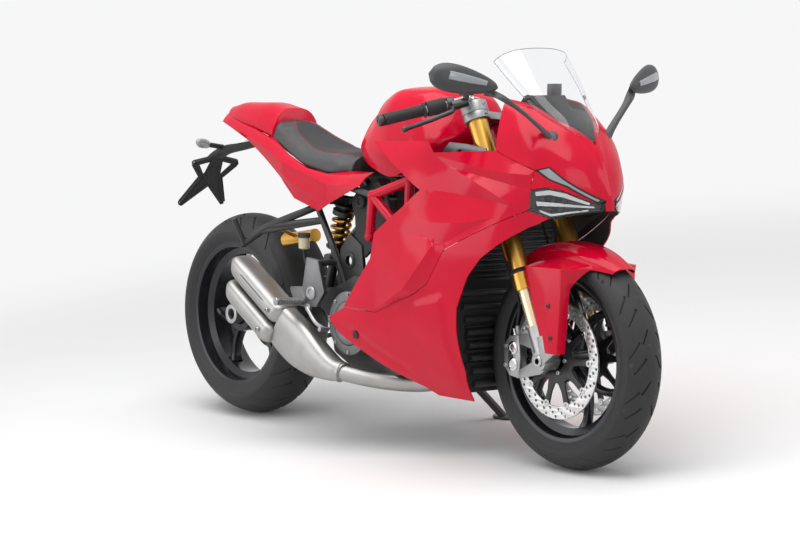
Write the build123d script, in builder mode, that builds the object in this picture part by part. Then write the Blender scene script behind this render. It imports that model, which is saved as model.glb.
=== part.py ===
from build123d import *

import os
from math import cos, radians, sin

# A sport bike parked on its side stand, in separate named pieces.
# Each piece is modelled on the upright bike: X forward, Y to the rider's left, Z up, the floor
# at Z = 0 and X = 0 midway between the axles. The pieces then lean onto the side stand together
# and are centred over their footprint. Lengths are millimetres, angles are degrees.

# Wheels and steering geometry
WHEELBASE = 1478
FRONT_TYRE_RADIUS = 300
FRONT_TYRE_WIDTH = 120
FRONT_CROWN_DROP = 38
REAR_TYRE_RADIUS = 315
REAR_TYRE_WIDTH = 180
REAR_CROWN_DROP = 50
RIM_RADIUS = 216
FRONT_RIM_WIDTH = 92
REAR_RIM_WIDTH = 142
SPOKES = 5
RAKE = 24
TRAIL = 91
LEAN = 9

# Hubs and brakes
AXLE_RADIUS = 12
AXLE_BORE = 8
FRONT_HUB_HALF = 61
REAR_HUB_RIGHT = -60
REAR_HUB_LEFT = 66
REAR_HUB_BORE = 20
REAR_SHAFT_RADIUS = 24
WHEEL_NUT_RADIUS = 30
STAND_PIN_BORE = 17
FRONT_DISC_RADIUS = 160
REAR_DISC_RADIUS = 120
DISC_THICKNESS = 5
CALIPER_CLEARANCE = 5

# Fork
FORK_HALF_SPACING = 103
FORK_TUBE_RADIUS = 27
FORK_COLLAR_RADIUS = 29
FORK_SLIDER_RADIUS = 21.5
FORK_FOOT_RADIUS = 26
FORK_COLLAR_HEIGHT = 200
FORK_SOCKET_HEIGHT = 62
LOWER_CLAMP_HEIGHT = 470
LOWER_CLAMP_THICKNESS = 34
UPPER_CLAMP_HEIGHT = 690
UPPER_CLAMP_THICKNESS = 22
FORK_TOP_HEIGHT = 745
STEM_RADIUS = 16
HEAD_TUBE_RADIUS = 30

# Handlebars
BAR_RADIUS = 11
GRIP_RADIUS = 16.5
BAR_INNER = Vector(448, -134, 990)
BAR_OUTER = Vector(352, -356, 934)

# Body shell
PANEL_WALL = 4
SCREEN_WALL = 4
FENDER_WALL = 3.5
FENDER_CLEARANCE = 9

# Drive
CHAIN_OFFSET = 142
CHAIN_PITCH = 15.875
REAR_SPROCKET_TEETH = 43
FRONT_SPROCKET_TEETH = 15
SPROCKET_THICKNESS = 6
FRONT_SPROCKET = Vector(-104, 0, 384)

# Engine and swingarm
CASE_HALF_WIDTH = 128
SWINGARM_PIVOT = Vector(-196, 0, 400)
SWINGARM_PIN_RADIUS = 12
SWINGARM_INNER = 98
SWINGARM_OUTER = 130

# Side stand
STAND_PIVOT = Vector(10, 152, 246)
STAND_FOOT_FLOOR = Vector(120, 300, 0)
STAND_STOWED_WAY = Vector(-0.97, 0.16, -0.16)
STAND_LEG_RADIUS = 12
STAND_EYE_HALF = 12
STAND_BOLT_RADIUS = 8

# Fits
RUNNING = 0.3
SEATED = 0.3

# Places that follow from those sizes
FRONT_AXLE = Vector(WHEELBASE / 2, 0, FRONT_TYRE_RADIUS)
REAR_AXLE = Vector(-WHEELBASE / 2, 0, REAR_TYRE_RADIUS)
STEER_UP = Vector(-sin(radians(RAKE)), 0, cos(radians(RAKE)))
STEER_AHEAD = Vector(cos(radians(RAKE)), 0, sin(radians(RAKE)))
FORK_OFFSET = (FRONT_AXLE - Vector(WHEELBASE / 2 + TRAIL, 0, 0)).dot(STEER_AHEAD)
FRONT_DISC_SIDE = FRONT_HUB_HALF + DISC_THICKNESS / 2
REAR_DISC_SIDE = REAR_HUB_LEFT + DISC_THICKNESS / 2
CALIPER_HALF_GAP = DISC_THICKNESS / 2 + CALIPER_CLEARANCE
OUTSIDE = 400


def crown_radius(width, drop):
    """Radius of a tyre's crown arc from its width and drop."""
    return ((width / 2) ** 2 + drop**2) / (2 * drop)


MEAN_CROWN = (
    crown_radius(FRONT_TYRE_WIDTH, FRONT_CROWN_DROP) + crown_radius(REAR_TYRE_WIDTH, REAR_CROWN_DROP)
) / 2
STANCE = Pos(0, 0, MEAN_CROWN * (1 - cos(radians(LEAN)))) * Rot(-LEAN, 0, 0)
FLOOR = STANCE.inverse()
STAND_FOOT = (FLOOR * Pos(STAND_FOOT_FLOOR)).position
STAND_WAY = (STAND_FOOT - STAND_PIVOT).normalized()
STAND_SWING = (STAND_WAY - STAND_STOWED_WAY.normalized()).normalized()
STAND_AXIS = (Vector(0, 1, 0) - STAND_SWING * STAND_SWING.Y).normalized()


def fork_point(height, side=0.0, ahead=0.0):
    """Point by its height along the fork from the axle, its side and its lead ahead of the legs."""
    return FRONT_AXLE + STEER_UP * height + STEER_AHEAD * ahead + Vector(0, side, 0)


def fork_plane(height):
    """Plane square to the fork at a height above the axle; local x is ahead and y is left."""
    return Plane(origin=fork_point(height), x_dir=STEER_AHEAD, z_dir=STEER_UP)


def wheel_section(axle, turn=0.0):
    """Plane through an axle for revolved profiles: local x along the axle, y outward."""
    way = Vector(cos(radians(turn)), 0, -sin(radians(turn)))
    return Plane(origin=axle, x_dir=(0, 1, 0), z_dir=way)


def wheel_face(axle, side=0.0):
    """Plane square to an axle, facing the bike's right, at a distance to its left."""
    return Plane(origin=axle + Vector(0, side, 0), x_dir=(1, 0, 0), z_dir=(0, -1, 0))


def across(axle, side):
    """Point beside an axle at a distance to the bike's left."""
    return axle + Vector(0, side, 0)


def rod(start, end, radius, mode=Mode.ADD):
    """Round bar between two points, added to the piece being built or cut from it."""
    start = Vector(start)
    way = Vector(end) - start
    with BuildSketch(Plane(origin=start, z_dir=way)) as end_face:
        Circle(radius)
    extrude(end_face.sketch, amount=way.length, mode=mode)


def pipe(points, radius, bend):
    """Bent bar: straight runs joined by arcs of one radius."""
    with BuildLine() as path:
        FilletPolyline(*points, radius=bend)
    with BuildSketch(Plane(origin=path.line @ 0, z_dir=path.line % 0)) as end_face:
        Circle(radius)
    sweep(end_face.sketch, path=path.line)


def slab(outline, side, other_side, corner=0.0, mode=Mode.ADD):
    """Side-view outline of (x, z) points, extruded from one side position to another."""
    with BuildSketch(Plane.XZ.offset(-max(side, other_side))) as drawn:
        Polygon(*outline, align=None)
        if corner:
            fillet(drawn.vertices(), corner)
    extrude(drawn.sketch, amount=abs(side - other_side), mode=mode)


# Tyres: a crown arc, two sidewall arcs, two beads and the hollow inside
def tyre_profile(radius, width, rim_width, crown_drop, carcass):
    """Draws a tyre's section on the active sketch: local x along the axle, y outward."""
    half = width / 2
    bead = rim_width / 2 - 1
    bead_low = RIM_RADIUS + SEATED
    bead_top = bead_low + 15
    shoulder = radius - crown_drop
    bulge = (half + bead) / 2 + 5
    middle = (shoulder + bead_top) / 2
    with BuildLine() as edge:
        ThreePointArc((-half, shoulder), (0, radius), (half, shoulder))
        ThreePointArc((half, shoulder), (bulge, middle), (bead, bead_top))
        Polyline((bead, bead_top), (bead, bead_low), (bead - 8, bead_low))
        ThreePointArc((bead - 8, bead_low), (0, radius - carcass), (8 - bead, bead_low))
        Polyline((8 - bead, bead_low), (-bead, bead_low), (-bead, bead_top))
        ThreePointArc((-bead, bead_top), (-bulge, middle), (-half, shoulder))
    make_face(edge.edges())


with BuildPart() as front_tyre:
    with BuildSketch(wheel_section(FRONT_AXLE)):
        tyre_profile(FRONT_TYRE_RADIUS, FRONT_TYRE_WIDTH, FRONT_RIM_WIDTH, FRONT_CROWN_DROP, 13)
    revolve(axis=Axis(FRONT_AXLE, (0, 1, 0)))

with BuildPart() as rear_tyre:
    with BuildSketch(wheel_section(REAR_AXLE)):
        tyre_profile(REAR_TYRE_RADIUS, REAR_TYRE_WIDTH, REAR_RIM_WIDTH, REAR_CROWN_DROP, 14)
    revolve(axis=Axis(REAR_AXLE, (0, 1, 0)))


# Cast wheels: a barrel with a dropped centre and two flanges, Y spokes and a hub
def rim_profile(width):
    """Draws the barrel's section on the active sketch."""
    half = width / 2
    well = RIM_RADIUS - 22
    outside = [
        (half + 5, RIM_RADIUS + 12),
        (half, RIM_RADIUS + 12),
        (half, RIM_RADIUS),
        (half * 0.55, RIM_RADIUS),
        (half * 0.4, well),
    ]
    inside = [
        (half * 0.4 + 3, well - 7),
        (half * 0.55 + 4, RIM_RADIUS - 8),
        (half + 5, RIM_RADIUS - 5),
    ]
    back = [(-x, r) for x, r in reversed(outside)]
    front = [(-x, r) for x, r in reversed(inside)]
    Polygon(*outside, *back, *front, *inside, align=None)


def spoke(root, split, tip, spread, stem_half, tip_half):
    """Draws a Y-shaped spoke along local x: a stem that splits into two arms."""
    Polygon((root, -stem_half), (split, -stem_half), (split, stem_half), (root, stem_half), align=None)
    for turn in (-spread, spread):
        end = Vector(tip, 0).rotate(Axis.Z, turn)
        wide = Vector(0, tip_half).rotate(Axis.Z, turn)
        Polygon(
            (split - stem_half, -stem_half * 0.8),
            (end.X - wide.X, end.Y - wide.Y),
            (end.X + wide.X, end.Y + wide.Y),
            (split - stem_half, stem_half * 0.8),
            align=None,
        )


with BuildPart() as front_rim:
    with BuildSketch(wheel_section(FRONT_AXLE)):
        rim_profile(FRONT_RIM_WIDTH)
    revolve(axis=Axis(FRONT_AXLE, (0, 1, 0)))
    with BuildSketch(wheel_face(FRONT_AXLE)):
        with PolarLocations(0, SPOKES, start_angle=90):
            spoke(30, 100, RIM_RADIUS - 26, 16, 14, 8)
    extrude(amount=13, both=True)
    rod(across(FRONT_AXLE, -FRONT_HUB_HALF), across(FRONT_AXLE, FRONT_HUB_HALF), 38)
    rod(
        across(FRONT_AXLE, -FRONT_HUB_HALF),
        across(FRONT_AXLE, FRONT_HUB_HALF),
        AXLE_RADIUS + RUNNING,
        Mode.SUBTRACT,
    )

with BuildPart() as rear_rim:
    with BuildSketch(wheel_section(REAR_AXLE)):
        rim_profile(REAR_RIM_WIDTH)
    revolve(axis=Axis(REAR_AXLE, (0, 1, 0)))
    with BuildSketch(wheel_face(REAR_AXLE)):
        with PolarLocations(0, SPOKES, start_angle=90):
            spoke(48, 112, RIM_RADIUS - 26, 16, 17, 9)
    extrude(amount=18, both=True)
    rod(across(REAR_AXLE, REAR_HUB_RIGHT), across(REAR_AXLE, REAR_HUB_LEFT), 56)
    rod(
        across(REAR_AXLE, REAR_HUB_RIGHT),
        across(REAR_AXLE, REAR_HUB_LEFT),
        REAR_HUB_BORE,
        Mode.SUBTRACT,
    )


# Brake discs: a drilled ring on a spider of arms
def disc_face(radius, track, holes, arms, spider, bore):
    """Draws a disc's face on the active sketch."""
    Circle(radius)
    Circle(radius - track, mode=Mode.SUBTRACT)
    for row, share in enumerate((0.3, 0.72)):
        with PolarLocations(radius - track * share, holes, start_angle=row * 180 / holes):
            Circle(4, mode=Mode.SUBTRACT)
    with PolarLocations(0, arms):
        Polygon((spider - 6, -13), (radius - track + 4, -7), (radius - track + 4, 7), (spider - 6, 13), align=None)
    Circle(spider)
    Circle(bore, mode=Mode.SUBTRACT)


with BuildPart() as front_discs:
    with BuildSketch(wheel_face(FRONT_AXLE, -FRONT_HUB_HALF)):
        disc_face(FRONT_DISC_RADIUS, 34, 24, 10, 46, 28)
    extrude(amount=DISC_THICKNESS)
    mirror(about=Plane.XZ)

with BuildPart() as rear_disc:
    with BuildSketch(wheel_face(REAR_AXLE, REAR_HUB_LEFT + DISC_THICKNESS)):
        disc_face(REAR_DISC_RADIUS, 34, 18, 6, 54, REAR_HUB_BORE)
    extrude(amount=DISC_THICKNESS)

# Rear axle shaft on the left and wheel nut on the right, both turning with the wheel
with BuildPart() as rear_hub:
    rod(
        across(REAR_AXLE, REAR_HUB_LEFT + DISC_THICKNESS),
        across(REAR_AXLE, CHAIN_OFFSET + 24),
        REAR_SHAFT_RADIUS,
    )
    rod(
        across(REAR_AXLE, REAR_HUB_LEFT),
        across(REAR_AXLE, CHAIN_OFFSET + 30),
        AXLE_RADIUS,
        Mode.SUBTRACT,
    )

with BuildPart() as wheel_nut:
    rod(across(REAR_AXLE, REAR_HUB_RIGHT), across(REAR_AXLE, REAR_HUB_RIGHT - 34), WHEEL_NUT_RADIUS)
    rod(across(REAR_AXLE, REAR_HUB_RIGHT), across(REAR_AXLE, REAR_HUB_RIGHT - 40), STAND_PIN_BORE, Mode.SUBTRACT)


# Sprockets and chain
def pitch_radius(teeth):
    """Pitch radius of a sprocket for the chain."""
    return CHAIN_PITCH / 2 / sin(radians(180 / teeth))


def sprocket_face(teeth, bore):
    """Draws a toothed wheel on the active sketch."""
    pitch = pitch_radius(teeth)
    Circle(pitch - 5)
    with PolarLocations(0, teeth):
        Polygon((pitch - 7, -4.6), (pitch + 3, -1.6), (pitch + 3, 1.6), (pitch - 7, 4.6), align=None)
    Circle(bore, mode=Mode.SUBTRACT)


with BuildPart() as rear_sprocket:
    with BuildSketch(wheel_face(REAR_AXLE, CHAIN_OFFSET + SPROCKET_THICKNESS / 2)):
        sprocket_face(REAR_SPROCKET_TEETH, REAR_SHAFT_RADIUS + SEATED)
        with PolarLocations(pitch_radius(REAR_SPROCKET_TEETH) * 0.64, 6):
            Circle(19, mode=Mode.SUBTRACT)
    extrude(amount=SPROCKET_THICKNESS)


def chain_loop(grow):
    """Draws the chain's loop round both sprockets, grown outward by an amount."""
    with BuildLine() as edge:
        rear = CenterArc((REAR_AXLE.X, REAR_AXLE.Z), pitch_radius(REAR_SPROCKET_TEETH) + grow, 96, 180)
        front = CenterArc((FRONT_SPROCKET.X, FRONT_SPROCKET.Z), pitch_radius(FRONT_SPROCKET_TEETH) + grow, -84, 180)
        Line(rear @ 0, front @ 1)
        Line(rear @ 1, front @ 0)
    make_face(edge.edges())


with BuildPart() as chain:
    for side in (CHAIN_OFFSET + 8, CHAIN_OFFSET - 4.5):
        with BuildSketch(Plane.XZ.offset(-side)) as loop:
            chain_loop(7)
        extrude(amount=3.5)
    for side in (CHAIN_OFFSET + 9, CHAIN_OFFSET - 3.5):
        with BuildSketch(Plane.XZ.offset(-side)) as loop:
            chain_loop(-7)
        extrude(amount=5.5, mode=Mode.SUBTRACT)
    for step in range(1, 24):
        share = step / 24
        for edge in (1, -1):
            rear = REAR_AXLE + Vector(11 * -edge, 0, 108 * edge)
            front = FRONT_SPROCKET + Vector(4 * -edge, 0, 38 * edge)
            middle = rear + (front - rear) * share
            if (middle - REAR_AXLE).length > 150 and (middle - FRONT_SPROCKET).length > 60:
                rod(across(middle, CHAIN_OFFSET - 6), across(middle, CHAIN_OFFSET + 6), 5)

# Fork legs
with BuildPart() as fork_tubes:
    with BuildSketch(Plane(origin=fork_point(0, -FORK_HALF_SPACING), x_dir=STEER_AHEAD, z_dir=(0, -1, 0))):
        Polygon(
            (0, FORK_COLLAR_HEIGHT),
            (FORK_COLLAR_RADIUS, FORK_COLLAR_HEIGHT),
            (FORK_COLLAR_RADIUS, FORK_COLLAR_HEIGHT + 46),
            (FORK_TUBE_RADIUS - 2, FORK_COLLAR_HEIGHT + 54),
            (FORK_TUBE_RADIUS - 2, LOWER_CLAMP_HEIGHT - 40),
            (FORK_TUBE_RADIUS, LOWER_CLAMP_HEIGHT - 32),
            (FORK_TUBE_RADIUS, FORK_TOP_HEIGHT),
            (FORK_TUBE_RADIUS - 9, FORK_TOP_HEIGHT + 5),
            (0, FORK_TOP_HEIGHT + 5),
            align=None,
        )
    revolve(axis=Axis(fork_point(0, -FORK_HALF_SPACING), STEER_UP))
    rod(
        fork_point(FORK_COLLAR_HEIGHT - 1, -FORK_HALF_SPACING),
        fork_point(FORK_COLLAR_HEIGHT + 60, -FORK_HALF_SPACING),
        FORK_SLIDER_RADIUS + RUNNING,
        Mode.SUBTRACT,
    )
    mirror(about=Plane.XZ)

with BuildPart() as fork_sliders:
    rod(
        fork_point(FORK_SOCKET_HEIGHT, -FORK_HALF_SPACING),
        fork_point(FORK_COLLAR_HEIGHT + 60 - SEATED, -FORK_HALF_SPACING),
        FORK_SLIDER_RADIUS,
    )
    mirror(about=Plane.XZ)

FOOT_INNER = FORK_HALF_SPACING - FORK_FOOT_RADIUS
FOOT_LUG = [
    (-12, 84),
    (-115.4, 58),
    (-113.2, 36),
    (-62, 26),
    (-52, -6),
    (-113.2, -36),
    (-115.4, -58),
    (-28, -40),
    (6, -18),
]
FENDER_LUG = [(-4, 64), (28, 72), (64, 44), (58, 20), (18, -8)]
FENDER_LEG_SIDE = FORK_HALF_SPACING + FORK_COLLAR_RADIUS + 2
with BuildPart() as fork_feet:
    rod(fork_point(0, -FORK_HALF_SPACING), fork_point(96, -FORK_HALF_SPACING), FORK_FOOT_RADIUS)
    rod(across(FRONT_AXLE, -FOOT_INNER), across(FRONT_AXLE, -FOOT_INNER - 54), FORK_FOOT_RADIUS)
    slab([(FRONT_AXLE.X + x, FRONT_AXLE.Z + z) for x, z in FOOT_LUG], -FOOT_INNER - 3, -FOOT_INNER - 23)
    slab([(FRONT_AXLE.X + x, FRONT_AXLE.Z + z) for x, z in FENDER_LUG], -FOOT_INNER - 30, -FENDER_LEG_SIDE)
    rod(
        fork_point(FORK_SOCKET_HEIGHT, -FORK_HALF_SPACING),
        fork_point(120, -FORK_HALF_SPACING),
        FORK_SLIDER_RADIUS + SEATED,
        Mode.SUBTRACT,
    )
    rod(across(FRONT_AXLE, 0), across(FRONT_AXLE, -FOOT_INNER - 60), AXLE_RADIUS + SEATED, Mode.SUBTRACT)
    mirror(about=Plane.XZ)

with BuildPart() as front_axle:
    rod(across(FRONT_AXLE, -FOOT_INNER - 58), across(FRONT_AXLE, FOOT_INNER + 58), AXLE_RADIUS)
    rod(across(FRONT_AXLE, -FOOT_INNER - 58), across(FRONT_AXLE, FOOT_INNER + 58), AXLE_BORE, Mode.SUBTRACT)


# Triple clamps
def clamp_face(lead, eye):
    """Draws a clamp plate on the active sketch: two fork eyes, a stem eye and the bridge."""
    Polygon(
        (26, -FORK_HALF_SPACING),
        (lead, 0),
        (26, FORK_HALF_SPACING),
        (-26, FORK_HALF_SPACING),
        (-FORK_OFFSET - 24, 34),
        (-FORK_OFFSET - 24, -34),
        (-26, -FORK_HALF_SPACING),
        align=None,
    )
    with Locations((0, FORK_HALF_SPACING), (0, -FORK_HALF_SPACING)):
        Circle(FORK_TUBE_RADIUS + eye)
    with Locations((-FORK_OFFSET, 0)):
        Circle(STEM_RADIUS + 14)
    with Locations((0, FORK_HALF_SPACING), (0, -FORK_HALF_SPACING)):
        Circle(FORK_TUBE_RADIUS + SEATED / 2, mode=Mode.SUBTRACT)


with BuildPart() as lower_clamp:
    with BuildSketch(fork_plane(LOWER_CLAMP_HEIGHT)):
        clamp_face(-4, 9)
    extrude(amount=LOWER_CLAMP_THICKNESS)
    rod(
        fork_point(LOWER_CLAMP_HEIGHT + 5, 0, -FORK_OFFSET),
        fork_point(UPPER_CLAMP_HEIGHT, 0, -FORK_OFFSET),
        STEM_RADIUS,
    )

with BuildPart() as upper_clamp:
    with BuildSketch(fork_plane(UPPER_CLAMP_HEIGHT)):
        clamp_face(6, 9)
    extrude(amount=UPPER_CLAMP_THICKNESS)
    rod(
        fork_point(UPPER_CLAMP_HEIGHT + 5, 0, -FORK_OFFSET),
        fork_point(UPPER_CLAMP_HEIGHT + UPPER_CLAMP_THICKNESS + 14, 0, -FORK_OFFSET),
        17,
    )

# Handlebars: raised clamps on the fork tops, bars, grips, switches and levers
BAR_WAY = (BAR_OUTER - BAR_INNER).normalized()
BAR_LENGTH = (BAR_OUTER - BAR_INNER).length
GRIP_LENGTH = 122
BAR_RING_HEIGHT = UPPER_CLAMP_HEIGHT + UPPER_CLAMP_THICKNESS


def bar_point(along, ahead=0.0, up=0.0):
    """Point along the right handlebar from its inner end outward, shifted ahead and up."""
    return BAR_INNER + BAR_WAY * along + Vector(ahead, 0, up)


with BuildPart() as clip_ons:
    rod(
        fork_point(BAR_RING_HEIGHT, -FORK_HALF_SPACING),
        fork_point(BAR_RING_HEIGHT + 30, -FORK_HALF_SPACING),
        FORK_TUBE_RADIUS + 10,
    )
    rod(fork_point(BAR_RING_HEIGHT + 15, -FORK_HALF_SPACING - 33, 4), bar_point(8), 14)
    rod(bar_point(-10), bar_point(BAR_LENGTH), BAR_RADIUS)
    rod(
        fork_point(BAR_RING_HEIGHT - 5, -FORK_HALF_SPACING),
        fork_point(BAR_RING_HEIGHT + 90, -FORK_HALF_SPACING),
        FORK_TUBE_RADIUS + SEATED / 2,
        Mode.SUBTRACT,
    )
    mirror(about=Plane.XZ)

with BuildPart() as grips:
    rod(bar_point(BAR_LENGTH - GRIP_LENGTH), bar_point(BAR_LENGTH + 2), GRIP_RADIUS)
    rod(bar_point(BAR_LENGTH - GRIP_LENGTH - 6), bar_point(BAR_LENGTH - GRIP_LENGTH), GRIP_RADIUS + 5)
    rod(bar_point(BAR_LENGTH + 2), bar_point(BAR_LENGTH + 16), GRIP_RADIUS - 1)
    rod(bar_point(0), bar_point(BAR_LENGTH), BAR_RADIUS + SEATED / 2, Mode.SUBTRACT)
    mirror(about=Plane.XZ)

with BuildPart() as switch_blocks:
    rod(bar_point(64), bar_point(BAR_LENGTH - GRIP_LENGTH - 10), 21)
    rod(bar_point(30), bar_point(BAR_LENGTH), BAR_RADIUS + SEATED / 2, Mode.SUBTRACT)
    mirror(about=Plane.XZ)

with BuildPart() as levers:
    rod(bar_point(40), bar_point(58), 19)
    rod(bar_point(49, 10, 0), bar_point(49, 36, -1), 9)
    rod(bar_point(24, 38, 0), bar_point(66, 34, -2), 13)
    rod(bar_point(30, 38, 0), bar_point(30, 42, 22), 8)
    rod(bar_point(30, 42, 18), bar_point(30, 42, 50), 20)
    pipe([bar_point(60, 34, -4), bar_point(86, 66, -12), bar_point(160, 74, -20), bar_point(236, 88, -24)], 6.5, 20)
    rod(bar_point(232, 87.3, -23.8), bar_point(246, 89.8, -24.5), 8)
    rod(bar_point(20), bar_point(80), BAR_RADIUS + SEATED / 2, Mode.SUBTRACT)
    mirror(about=Plane.XZ)


# Calipers: blocks that straddle the discs
def caliper_outline(axle, turn, reach):
    """Side-view outline of a caliper behind an axle, turned about that axle."""
    drawn = [(-reach + 4, 60), (-reach - 34, 54), (-reach - 56, 30), (-reach - 56, -30), (-reach - 34, -54)]
    drawn += [(-reach + 4, -60), (-reach + 10, 0)]
    turned = [Vector(x, z).rotate(Axis.Z, turn) for x, z in drawn]
    return [(axle.X + point.X, axle.Z + point.Y) for point in turned]


with BuildPart() as front_calipers:
    slab(caliper_outline(FRONT_AXLE, 0, 120), -34, -98, 5)
    rod(
        across(FRONT_AXLE, -FRONT_DISC_SIDE + CALIPER_HALF_GAP),
        across(FRONT_AXLE, -FRONT_DISC_SIDE - CALIPER_HALF_GAP),
        FRONT_DISC_RADIUS + CALIPER_CLEARANCE,
        Mode.SUBTRACT,
    )
    mirror(about=Plane.XZ)

with BuildPart() as rear_caliper:
    slab(caliper_outline(REAR_AXLE, 165, 76), 46, SWINGARM_INNER, 5)
    rod(
        across(REAR_AXLE, REAR_DISC_SIDE - CALIPER_HALF_GAP),
        across(REAR_AXLE, REAR_DISC_SIDE + CALIPER_HALF_GAP),
        REAR_DISC_RADIUS + CALIPER_CLEARANCE,
        Mode.SUBTRACT,
    )

# Front mudguard: a crowned arch over the tyre and a leg down each fork foot
FENDER_HALF = 66
FENDER_EDGE = FRONT_TYRE_RADIUS - 50
FENDER_SPRING = FRONT_TYRE_RADIUS - 8
FENDER_CROWN = FRONT_TYRE_RADIUS + FENDER_CLEARANCE
FENDER_LEG = [(20, 20), (66, 26), (88, 236), (60, 254), (-54, 240), (-44, 150)]
with BuildPart() as front_fender:
    with BuildSketch(wheel_section(FRONT_AXLE, -32)):
        with BuildLine():
            Line((-FENDER_HALF, FENDER_EDGE), (-FENDER_HALF - FENDER_WALL, FENDER_EDGE))
            Line((-FENDER_HALF - FENDER_WALL, FENDER_EDGE), (-FENDER_HALF - FENDER_WALL, FENDER_SPRING))
            ThreePointArc(
                (-FENDER_HALF - FENDER_WALL, FENDER_SPRING),
                (0, FENDER_CROWN + FENDER_WALL),
                (FENDER_HALF + FENDER_WALL, FENDER_SPRING),
            )
            Line((FENDER_HALF + FENDER_WALL, FENDER_SPRING), (FENDER_HALF + FENDER_WALL, FENDER_EDGE))
            Line((FENDER_HALF + FENDER_WALL, FENDER_EDGE), (FENDER_HALF, FENDER_EDGE))
            Line((FENDER_HALF, FENDER_EDGE), (FENDER_HALF, FENDER_SPRING))
            ThreePointArc((FENDER_HALF, FENDER_SPRING), (0, FENDER_CROWN), (-FENDER_HALF, FENDER_SPRING))
            Line((-FENDER_HALF, FENDER_SPRING), (-FENDER_HALF, FENDER_EDGE))
        make_face()
    revolve(axis=Axis(FRONT_AXLE, (0, 1, 0)), revolution_arc=70)
    for side in (-1, 1):
        slab(
            [(FRONT_AXLE.X + x, FRONT_AXLE.Z + z) for x, z in FENDER_LEG],
            side * FENDER_LEG_SIDE,
            side * (FENDER_LEG_SIDE + FENDER_WALL),
        )
        slab(
            [
                (FRONT_AXLE.X + 30, FRONT_AXLE.Z + 262),
                (FRONT_AXLE.X + 68, FRONT_AXLE.Z + 252),
                (FRONT_AXLE.X + 68, FRONT_AXLE.Z + 247),
                (FRONT_AXLE.X + 30, FRONT_AXLE.Z + 245),
            ],
            side * (FENDER_HALF + 1),
            side * (FENDER_LEG_SIDE + 1),
        )

# Body shell
# Columns: station along X, then half width and height at keel, low, mid, waist, shoulder, top and roof.
SHELL_STATIONS = [
    (-70, (150, 170), (205, 260), (222, 370), (215, 560), (200, 720), (165, 880), (60, 960)),
    (150, (130, 160), (205, 250), (240, 390), (236, 580), (222, 730), (178, 880), (60, 975)),
    (330, (115, 155), (190, 245), (240, 390), (250, 590), (232, 735), (188, 870), (60, 990)),
    (500, (95, 150), (165, 240), (222, 390), (240, 590), (218, 720), (178, 860), (100, 1000)),
    (640, (70, 150), (120, 240), (180, 390), (208, 600), (195, 715), (165, 855), (104, 982)),
    (735, (45, 300), (80, 450), (120, 600), (146, 690), (160, 760), (148, 850), (92, 926)),
    (800, (30, 500), (50, 600), (90, 665), (104, 690), (118, 760), (102, 830), (48, 874)),
    (850, (18, 600), (30, 640), (44, 670), (52, 690), (56, 750), (46, 800), (18, 828)),
    (872, (4, 640), (8, 665), (11, 685), (15, 700), (16, 740), (12, 775), (5, 795)),
]


def shell_sections(inset):
    """Sections of the body volume, each drawn in by an inset."""
    sections = []
    nose = SHELL_STATIONS[-1][0]
    for station, *levels in SHELL_STATIONS:
        right = [(-max(width - inset, 0.2 * width), height) for width, height in levels]
        right[-1] = (right[-1][0], right[-1][1] - inset)
        left = [(-y, height) for y, height in reversed(right)]
        place = station - inset if station == nose else station
        with BuildSketch(Plane.YZ.offset(place)) as section:
            Polygon(*right, *left, align=None)
        sections.append(section.sketch)
    return sections


with BuildPart() as skin:
    loft(shell_sections(0), ruled=True)
    loft(shell_sections(PANEL_WALL), ruled=True, mode=Mode.SUBTRACT)

with BuildPart() as core:
    loft(shell_sections(PANEL_WALL + SEATED), ruled=True)

UPPER_SIDE = [
    (92, 873),
    (343, 877),
    (382, 846),
    (606, 855),
    (694, 824),
    (745, 806),
    (734, 754),
    (730, 712),
    (722, 700),
    (478, 587),
    (409, 491),
    (350, 458),
    (180, 397),
    (21, 400),
    (152, 545),
    (169, 618),
    (299, 696),
    (362, 744),
]
LOWER_SIDE = [
    (22.5, 399.4),
    (180.2, 396.4),
    (350.4, 457.4),
    (409.6, 490.4),
    (478.6, 586.4),
    (722.6, 699.2),
    (768, 679),
    (718, 653),
    (657, 609),
    (603, 569),
    (560, 519),
    (513, 429),
    (503, 370),
    (490, 250),
    (455, 162),
    (322, 167),
    (294, 189),
    (-5, 320),
    (-62, 363),
]
LENS = [(734.7, 753), (730.7, 712), (723.6, 700.4), (768.8, 680.2), (864, 700), (866, 716), (808, 752), (775, 760)]
RUNNING_LIGHT = [(750, 806), (777, 814), (868, 728), (862, 721), (816, 764), (780, 782)]
LAMP_BOWL = [(752, 748), (748, 716), (775, 692), (850, 706), (850, 718), (806, 748), (778, 754)]
NOSE_SIDE = [
    (560, 1010),
    (607, 855.6),
    (694.4, 824.6),
    (746, 806.4),
    (777.4, 814.7),
    (868.6, 728.6),
    (880, 760),
    (880, 1010),
]
SCREEN_BAY = [(816, 0), (735, -64), (640, -100), (540, -108), (540, 108), (640, 100), (735, 64)]

with BuildPart() as upper_fairing_right:
    add(skin.part)
    slab(UPPER_SIDE, -20, -OUTSIDE, mode=Mode.INTERSECT)

with BuildPart() as upper_fairing_left:
    add(upper_fairing_right.part.mirror(Plane.XZ))

with BuildPart() as lower_fairing_right:
    add(skin.part)
    slab(LOWER_SIDE, -20, -OUTSIDE, mode=Mode.INTERSECT)

with BuildPart() as lower_fairing_left:
    add(lower_fairing_right.part.mirror(Plane.XZ))

with BuildPart() as nose_cowl:
    add(skin.part)
    slab(NOSE_SIDE, OUTSIDE, -OUTSIDE, mode=Mode.INTERSECT)
    with BuildSketch(Plane.XY.offset(850)):
        Polygon(*SCREEN_BAY, align=None)
    extrude(amount=200, mode=Mode.SUBTRACT)

with BuildPart() as lens_right:
    add(skin.part)
    slab(LENS, -8, -OUTSIDE, mode=Mode.INTERSECT)

with BuildPart() as running_light_right:
    add(skin.part)
    slab(RUNNING_LIGHT, -8, -OUTSIDE, mode=Mode.INTERSECT)

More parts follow.
